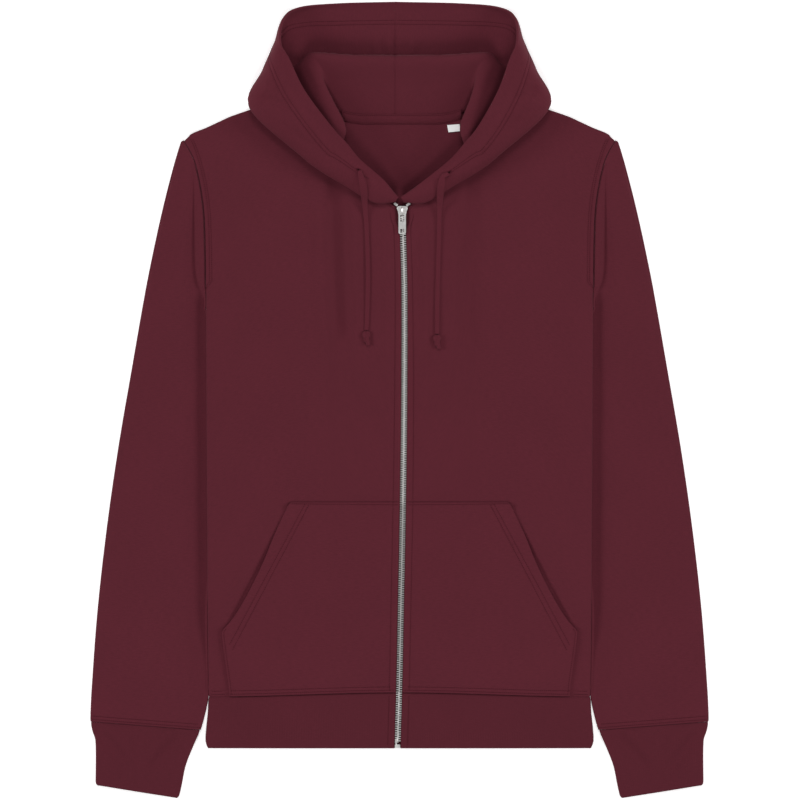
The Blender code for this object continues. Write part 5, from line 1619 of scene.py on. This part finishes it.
def top_of(shell, place):
    """Height of the upper face of a shell's cloth at a place."""
    points = np.concatenate((shell.outer.reshape(-1, 3), shell.inner.reshape(-1, 3)))
    near = points[np.hypot(points[:, 0] - place[0], points[:, 1] - place[1]) < NEAR]
    return float(near[:, 2].max())


def oval(frame, size, count, lift):
    """Points round an oval; the frame is its middle, the ways along and across it, and its normal."""
    middle, along, across, normal = frame
    return [middle + along * math.cos(turn) * size[0] + across * math.sin(turn) * size[1] + normal * lift
            for turn in np.linspace(0.0, 2.0 * math.pi, count, endpoint=False)]


def buttonhole_frame(shell, place, way):
    """The middle, the two ways and the normal of a buttonhole, lying on the cloth."""
    place, along = np.array(place), np.array(way)
    across = np.array((-way[1], way[0]))
    ways = []
    for flat, half in ((along, BUTTONHOLE[0]), (across, SIDE_REACH)):
        low, high = (top_of(shell, place + flat * reach) for reach in (-half, half))
        ways.append(unit(np.array((*flat, (high - low) / (2.0 * half)))))
    return np.array((*place, top_of(shell, place))), *ways, unit(np.cross(*ways))


def sew_buttonholes(sewing, hoods, painted_shade_finish):
    """Satin stitches round each slit, and a near-black sheet in each slit: painted shade for the slit's
    inside.
    """
    for (name, (place, way)), shell in zip(BUTTONHOLES.items(), hoods):
        frame = buttonhole_frame(shell, place, way)
        normal = frame[-1]
        starts, ends = (oval(frame, size, RIM_STITCHES, RIM_LIFT) for size in (SLIT, BUTTONHOLE))
        for start, end in zip(starts, ends):
            sewing.stitch(start, end, normal)
        ring = oval(frame, SLIT, SLIT_POINTS, SLIT_LIFT)
        below = [point - normal * SLIT_DEPTH for point in ring]
        # a near-black sheet under the slit's rim: painted shade
        slit = add_mesh("slit_" + name, below + ring, tube_faces(2, SLIT_POINTS), painted_shade_finish, flat=True)
        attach(slit, "garment")


# ---- zip ----
TOOTH_PITCH = 2.43          # from one tooth to the next on the same side
TOOTH_TOP = 196.6
TOOTH_MIDDLE = -0.9         # x that a tooth's outline shrinks towards
#          x from the middle, half length along the zip
TOOTH = ((-3.4, 0.36), (-3.15, 0.56), (-2.2, 0.56), (-1.2, 0.46), (-0.4, 0.46), (0.5, 0.58), (0.9, 0.4))
TOOTH_LEVELS = ((-1.2, 0.85), (-0.85, 1.0), (0.85, 1.0), (1.2, 0.8))    # height, share of the outline
PULL_Y = 203.65             # the line that the pull turns on
#          y from the pull's line, half width of the slider's plates
SLIDER = ((4.0, 2.2), (3.7, 4.6), (2.4, 5.7), (0.6, 5.6), (-2.0, 4.5), (-4.6, 4.2), (-5.6, 3.6))
SLIDER_PLATES = ((-2.3, -1.5), (1.5, 2.5))      # heights from the tape's middle: lower and upper plate
SLIDER_POST = ((-1.3, 0.4), (0.0, -1.8), (1.3, 0.4), (1.1, 3.4), (-1.1, 3.4))
#          y from the pull's line, height over the upper plate
BRIDGE = ((-4.0, -0.4), (-3.9, 1.4), (-2.6, 2.75), (0.0, 3.1), (1.8, 2.6), (2.5, 1.3), (2.6, -0.4))
BRIDGE_SECTION = ((-1.0, -0.35), (-0.8, 0.4), (0.8, 0.4), (1.0, -0.35))     # across, outward
STOP_X = 6.6
STOP_Y = 210.5
STOP_DROP = 1.2             # each stop's middle lies this much lower
STOP_TURN = math.radians(38.0)
STOP = ((-1.7, -1.4), (1.7, -1.4), (2.3, -0.8), (2.3, 0.8), (1.7, 1.4), (-1.7, 1.4), (-2.3, 0.8),
        (-2.3, -0.8))
STOP_LEVELS = (0.6, 2.5)
BOX_TOP = 4.0
BOX = ((-3.1, 0.0), (3.1, 0.0), (3.1, 3.4), (2.6, BOX_TOP), (-2.6, BOX_TOP), (-3.1, 3.4))
PIN = ((-2.4, BOX_TOP), (-0.6, BOX_TOP), (-0.6, 9.5), (-1.0, 10.2), (-2.0, 10.2), (-2.4, 9.5))
PIN_LEVELS = (0.4, 1.5)
MIDDLE_LEVELS = (-1.5, 1.5)     # of the slider's post and the box


def ride_zip(made, node=None):
    """A metal piece of the zip, in place of a node if one is named."""
    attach(made, "garment")
    if node:
        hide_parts(node)


def add_teeth(finish):
    vertices = []
    faces = []
    count = int((TOOTH_TOP - BAND_Y - BOX_TOP - 1.0) / (TOOTH_PITCH / 2.0))
    outline = list(TOOTH) + [(x, -half) for x, half in reversed(TOOTH)]
    for i in range(count):
        y = TOOTH_TOP - i * TOOTH_PITCH / 2.0
        way = 1.0 if i % 2 else -1.0
        middle = float(zip_x(y))
        faces += tube_faces(len(TOOTH_LEVELS), len(outline), len(vertices))
        for z, size in TOOTH_LEVELS:
            for x, half in outline:
                tooth_x = TOOTH_MIDDLE + (x - TOOTH_MIDDLE) * size
                vertices.append((middle + way * tooth_x, y + half * size * way, TAPE_Z + z))
    ride_zip(add_mesh("zip_teeth", vertices, faces, finish, flat=True), "zip_chain")


def add_plate(name, outline, place, levels, finish, chamfer, node=None):
    """A plate from an outline round a place, its edges chamfered; levels count from the tape's middle."""
    outline = np.array(outline, float) + place
    low, high = TAPE_Z + levels[0], TAPE_Z + levels[1]
    centre = outline.mean(axis=0)
    inner = centre + (outline - centre) * (1.0 - chamfer / np.linalg.norm(outline - centre, axis=1))[:, None]
    rings = ((inner, low), (outline, low + chamfer), (outline, high - chamfer), (inner, high))
    vertices = [(x, y, z) for ring, z in rings for x, y in ring]
    ride_zip(add_mesh(name, vertices, tube_faces(len(rings), len(outline)), finish, flat=True), node)


def add_slider(finish):
    place = (float(zip_x(PULL_Y)), PULL_Y)
    outline = [(half, y) for y, half in SLIDER] + [(-half, y) for y, half in reversed(SLIDER)]
    for i, (levels, node) in enumerate(zip(SLIDER_PLATES, (None, "zip_slider"))):
        add_plate("slider_plate_" + str(i), outline, place, levels, finish, 0.25, node)
    add_plate("slider_post", SLIDER_POST, place, MIDDLE_LEVELS, finish, 0.1)
    add_bridge(place, finish)


def add_bridge(place, finish):
    """The slider's loop: a flat strip arched over the pull's upper bar."""
    top = TAPE_Z + SLIDER_PLATES[1][1]
    path = smooth_path([(place[0], place[1] + y, top + z) for y, z in BRIDGE], 30)
    across = np.array((1.0, 0.0, 0.0))
    outwards = np.cross(across, unit(np.gradient(path, axis=0)))
    vertices = [point + across * wide + out * thick
                for point, out in zip(path, outwards) for wide, thick in BRIDGE_SECTION]
    ride_zip(add_mesh("slider_bridge", vertices, tube_faces(len(path), len(BRIDGE_SECTION)), finish))


def add_stops_and_box(finish):
    for name, side in SIDES.items():
        turned = [(side * (x * math.cos(STOP_TURN) - y * math.sin(STOP_TURN)),
                   x * math.sin(STOP_TURN) + y * math.cos(STOP_TURN)) for x, y in STOP]
        place = (float(zip_x(STOP_Y)) + side * STOP_X, STOP_Y - STOP_DROP)
        add_plate("top_stop_" + name, turned, place, STOP_LEVELS, finish, 0.3, "zip_stop_" + name)
    place = (float(zip_x(BAND_Y)), BAND_Y)
    add_plate("retainer_box", BOX, place, MIDDLE_LEVELS, finish, 0.35, "zip_box")
    add_plate("retainer_pin", PIN, place, PIN_LEVELS, finish, 0.25)


def finish_solids(metal, tape):
    """The pull and the two tapes are the solids' own meshes, in these materials."""
    pull = frame["nodes"]["zip_pull"]
    pull.data.materials.clear()
    pull.data.materials.append(metal)
    for name in SIDES:
        for slot in frame["nodes"]["zip_tape_" + name].material_slots:
            slot.material = tape


# ---- floor and light ----
#   name: degrees from overhead, turn from +X, spread, strength
LIGHTS = {
    "from_above": (42.0, 90.0, 22.0, 1.03),
    "from_below": (42.0, 270.0, 22.0, 1.0),
    "from_left": (70.0, 178.0, 18.0, 1.6),
    "from_right": (70.0, 2.0, 18.0, 1.6),
}
WHITE = (1.0, 1.0, 1.0, 1.0)
WORLD_STRENGTH = 0.2
FLOOR_WHITE = (0.93, 0.93, 0.93, 1.0)
FLOOR_GLOW = 0.42
FLOOR_HALF = 4.0            # metres
FLOOR_Z = -0.0003


def add_floor():
    finish = Finish("floor")
    finish.shade({"Base Color": FLOOR_WHITE, "Roughness": 0.9, "Specular IOR Level": 0.1,
                  "Emission Color": WHITE, "Emission Strength": FLOOR_GLOW})
    corners = [(x * FLOOR_HALF, y * FLOOR_HALF, FLOOR_Z) for x, y in ((-1, -1), (1, -1), (1, 1), (-1, 1))]
    mesh = bpy.data.meshes.new("floor")
    mesh.from_pydata(corners, [], [(0, 1, 2, 3)])
    mesh.materials.append(finish.material)
    floor = bpy.data.objects.new("floor", mesh)
    bpy.context.scene.collection.objects.link(floor)


def add_light():
    for name, (tilt, turn, spread, strength) in LIGHTS.items():
        data = bpy.data.lights.new(name, "SUN")
        data.energy = strength
        data.angle = math.radians(spread)
        light = bpy.data.objects.new(name, data)
        tilt, turn = math.radians(tilt), math.radians(turn)
        place = Vector((math.sin(tilt) * math.cos(turn), math.sin(tilt) * math.sin(turn), math.cos(tilt)))
        light.rotation_mode = "QUATERNION"
        light.rotation_quaternion = (-place).to_track_quat("-Z", "Y")
        light.location = place
        bpy.context.scene.collection.objects.link(light)
    world = bpy.data.worlds.new("studio")
    world.use_nodes = True
    background = world.node_tree.nodes["Background"]
    background.inputs["Color"].default_value = WHITE
    background.inputs["Strength"].default_value = WORLD_STRENGTH
    bpy.context.scene.world = world
    bpy.context.scene.view_settings.view_transform = "Standard"


# ---- the whole garment ----
# The cut of what shows of each kind of piece, laid out flat: width and length in metres.
CUTS = {
    "back": (0.462, 0.618),
    "band": (0.83, 0.060),
    "front": (0.27, 0.64),
    "sleeve": (0.28, 0.62),
    "cuff": (0.2, 0.075),
    "pocket": (0.19, 0.205),
    "hood": (0.46, 0.3),
    "neck tape": (0.104, 0.012),
    "label": (0.0131, 0.0101),
}


def area_of(shell):
    """Area of a shell's middle in square metres."""
    grid = shell.middle * MM
    down = np.cross(grid[1:, :-1] - grid[:-1, :-1], grid[:-1, 1:] - grid[:-1, :-1])
    up = np.cross(grid[:-1, 1:] - grid[1:, 1:], grid[1:, :-1] - grid[1:, 1:])
    return float((np.linalg.norm(down, axis=2).sum() + np.linalg.norm(up, axis=2).sum()) / 2.0)


def add_cloth():
    """Every cloth piece, by kind."""
    cloth = cloth_material("fleece", FLEECE)
    rib = cloth_material("rib_knit", RIB_KNIT, grain=0.1)

    def both(add, name, finish):
        return [add(name + "_" + side_name, side, finish) for side_name, side in SIDES.items()]

    return {
        "back": [add_back(cloth)],
        "band": [add_band(rib)],
        "front": both(add_front, "front", cloth),
        "sleeve": both(add_sleeve, "sleeve", cloth),
        "cuff": both(add_cuff, "cuff", rib),
        "pocket": both(add_pocket, "pocket", cloth),
        "hood": both(add_hood, "hood", cloth),
        "neck tape": [add_neck_tape(cloth)],
        "label": [add_label(label_material("blank_satin", LABEL_WHITE))],
    }


def add_sewing(shells):
    sewing = Sewing()
    sew_fronts(sewing, shells["front"])
    sew_pockets(sewing, shells["pocket"])
    sew_band(sewing, *shells["band"])
    sew_hood(sewing, shells["hood"])
    sew_sleeves(sewing, shells["sleeve"])
    sew_neck(sewing, *shells["neck tape"])
    # the stitches' colour holds painted shade of their dimples
    sewing.make("stitches", thread_material("thread", THREAD_AND_PAINTED_SHADE))
    rims = Sewing()
    # the slits' near-black sheets are painted shade
    sew_buttonholes(rims, shells["hood"], thread_material("slit_shade", SLIT_SHADE))
    rims.make("buttonhole_rims", thread_material("rim_thread", RIM_THREAD))


def main():
    add_camera()
    braid = braid_material("drawcord_braid", BRAID, BRAID_PITCH)
    for name, route in CORD_ROUTES.items():
        add_cord(name, route, braid)
    shells = add_cloth()
    add_sewing(shells)
    metal = metal_material("nickel", NICKEL, 0.42)
    add_teeth(metal_material("tooth_nickel", TOOTH_NICKEL, 0.46))
    add_slider(metal)
    add_stops_and_box(metal)
    finish_solids(metal, braid_material("woven_tape", WOVEN_TAPE, TAPE_PITCH))
    for kind, flat in CUTS.items():
        for shell in shells[kind]:
            area = min(area_of(shell), flat[0] * flat[1])
    add_floor()
    add_light()


main()
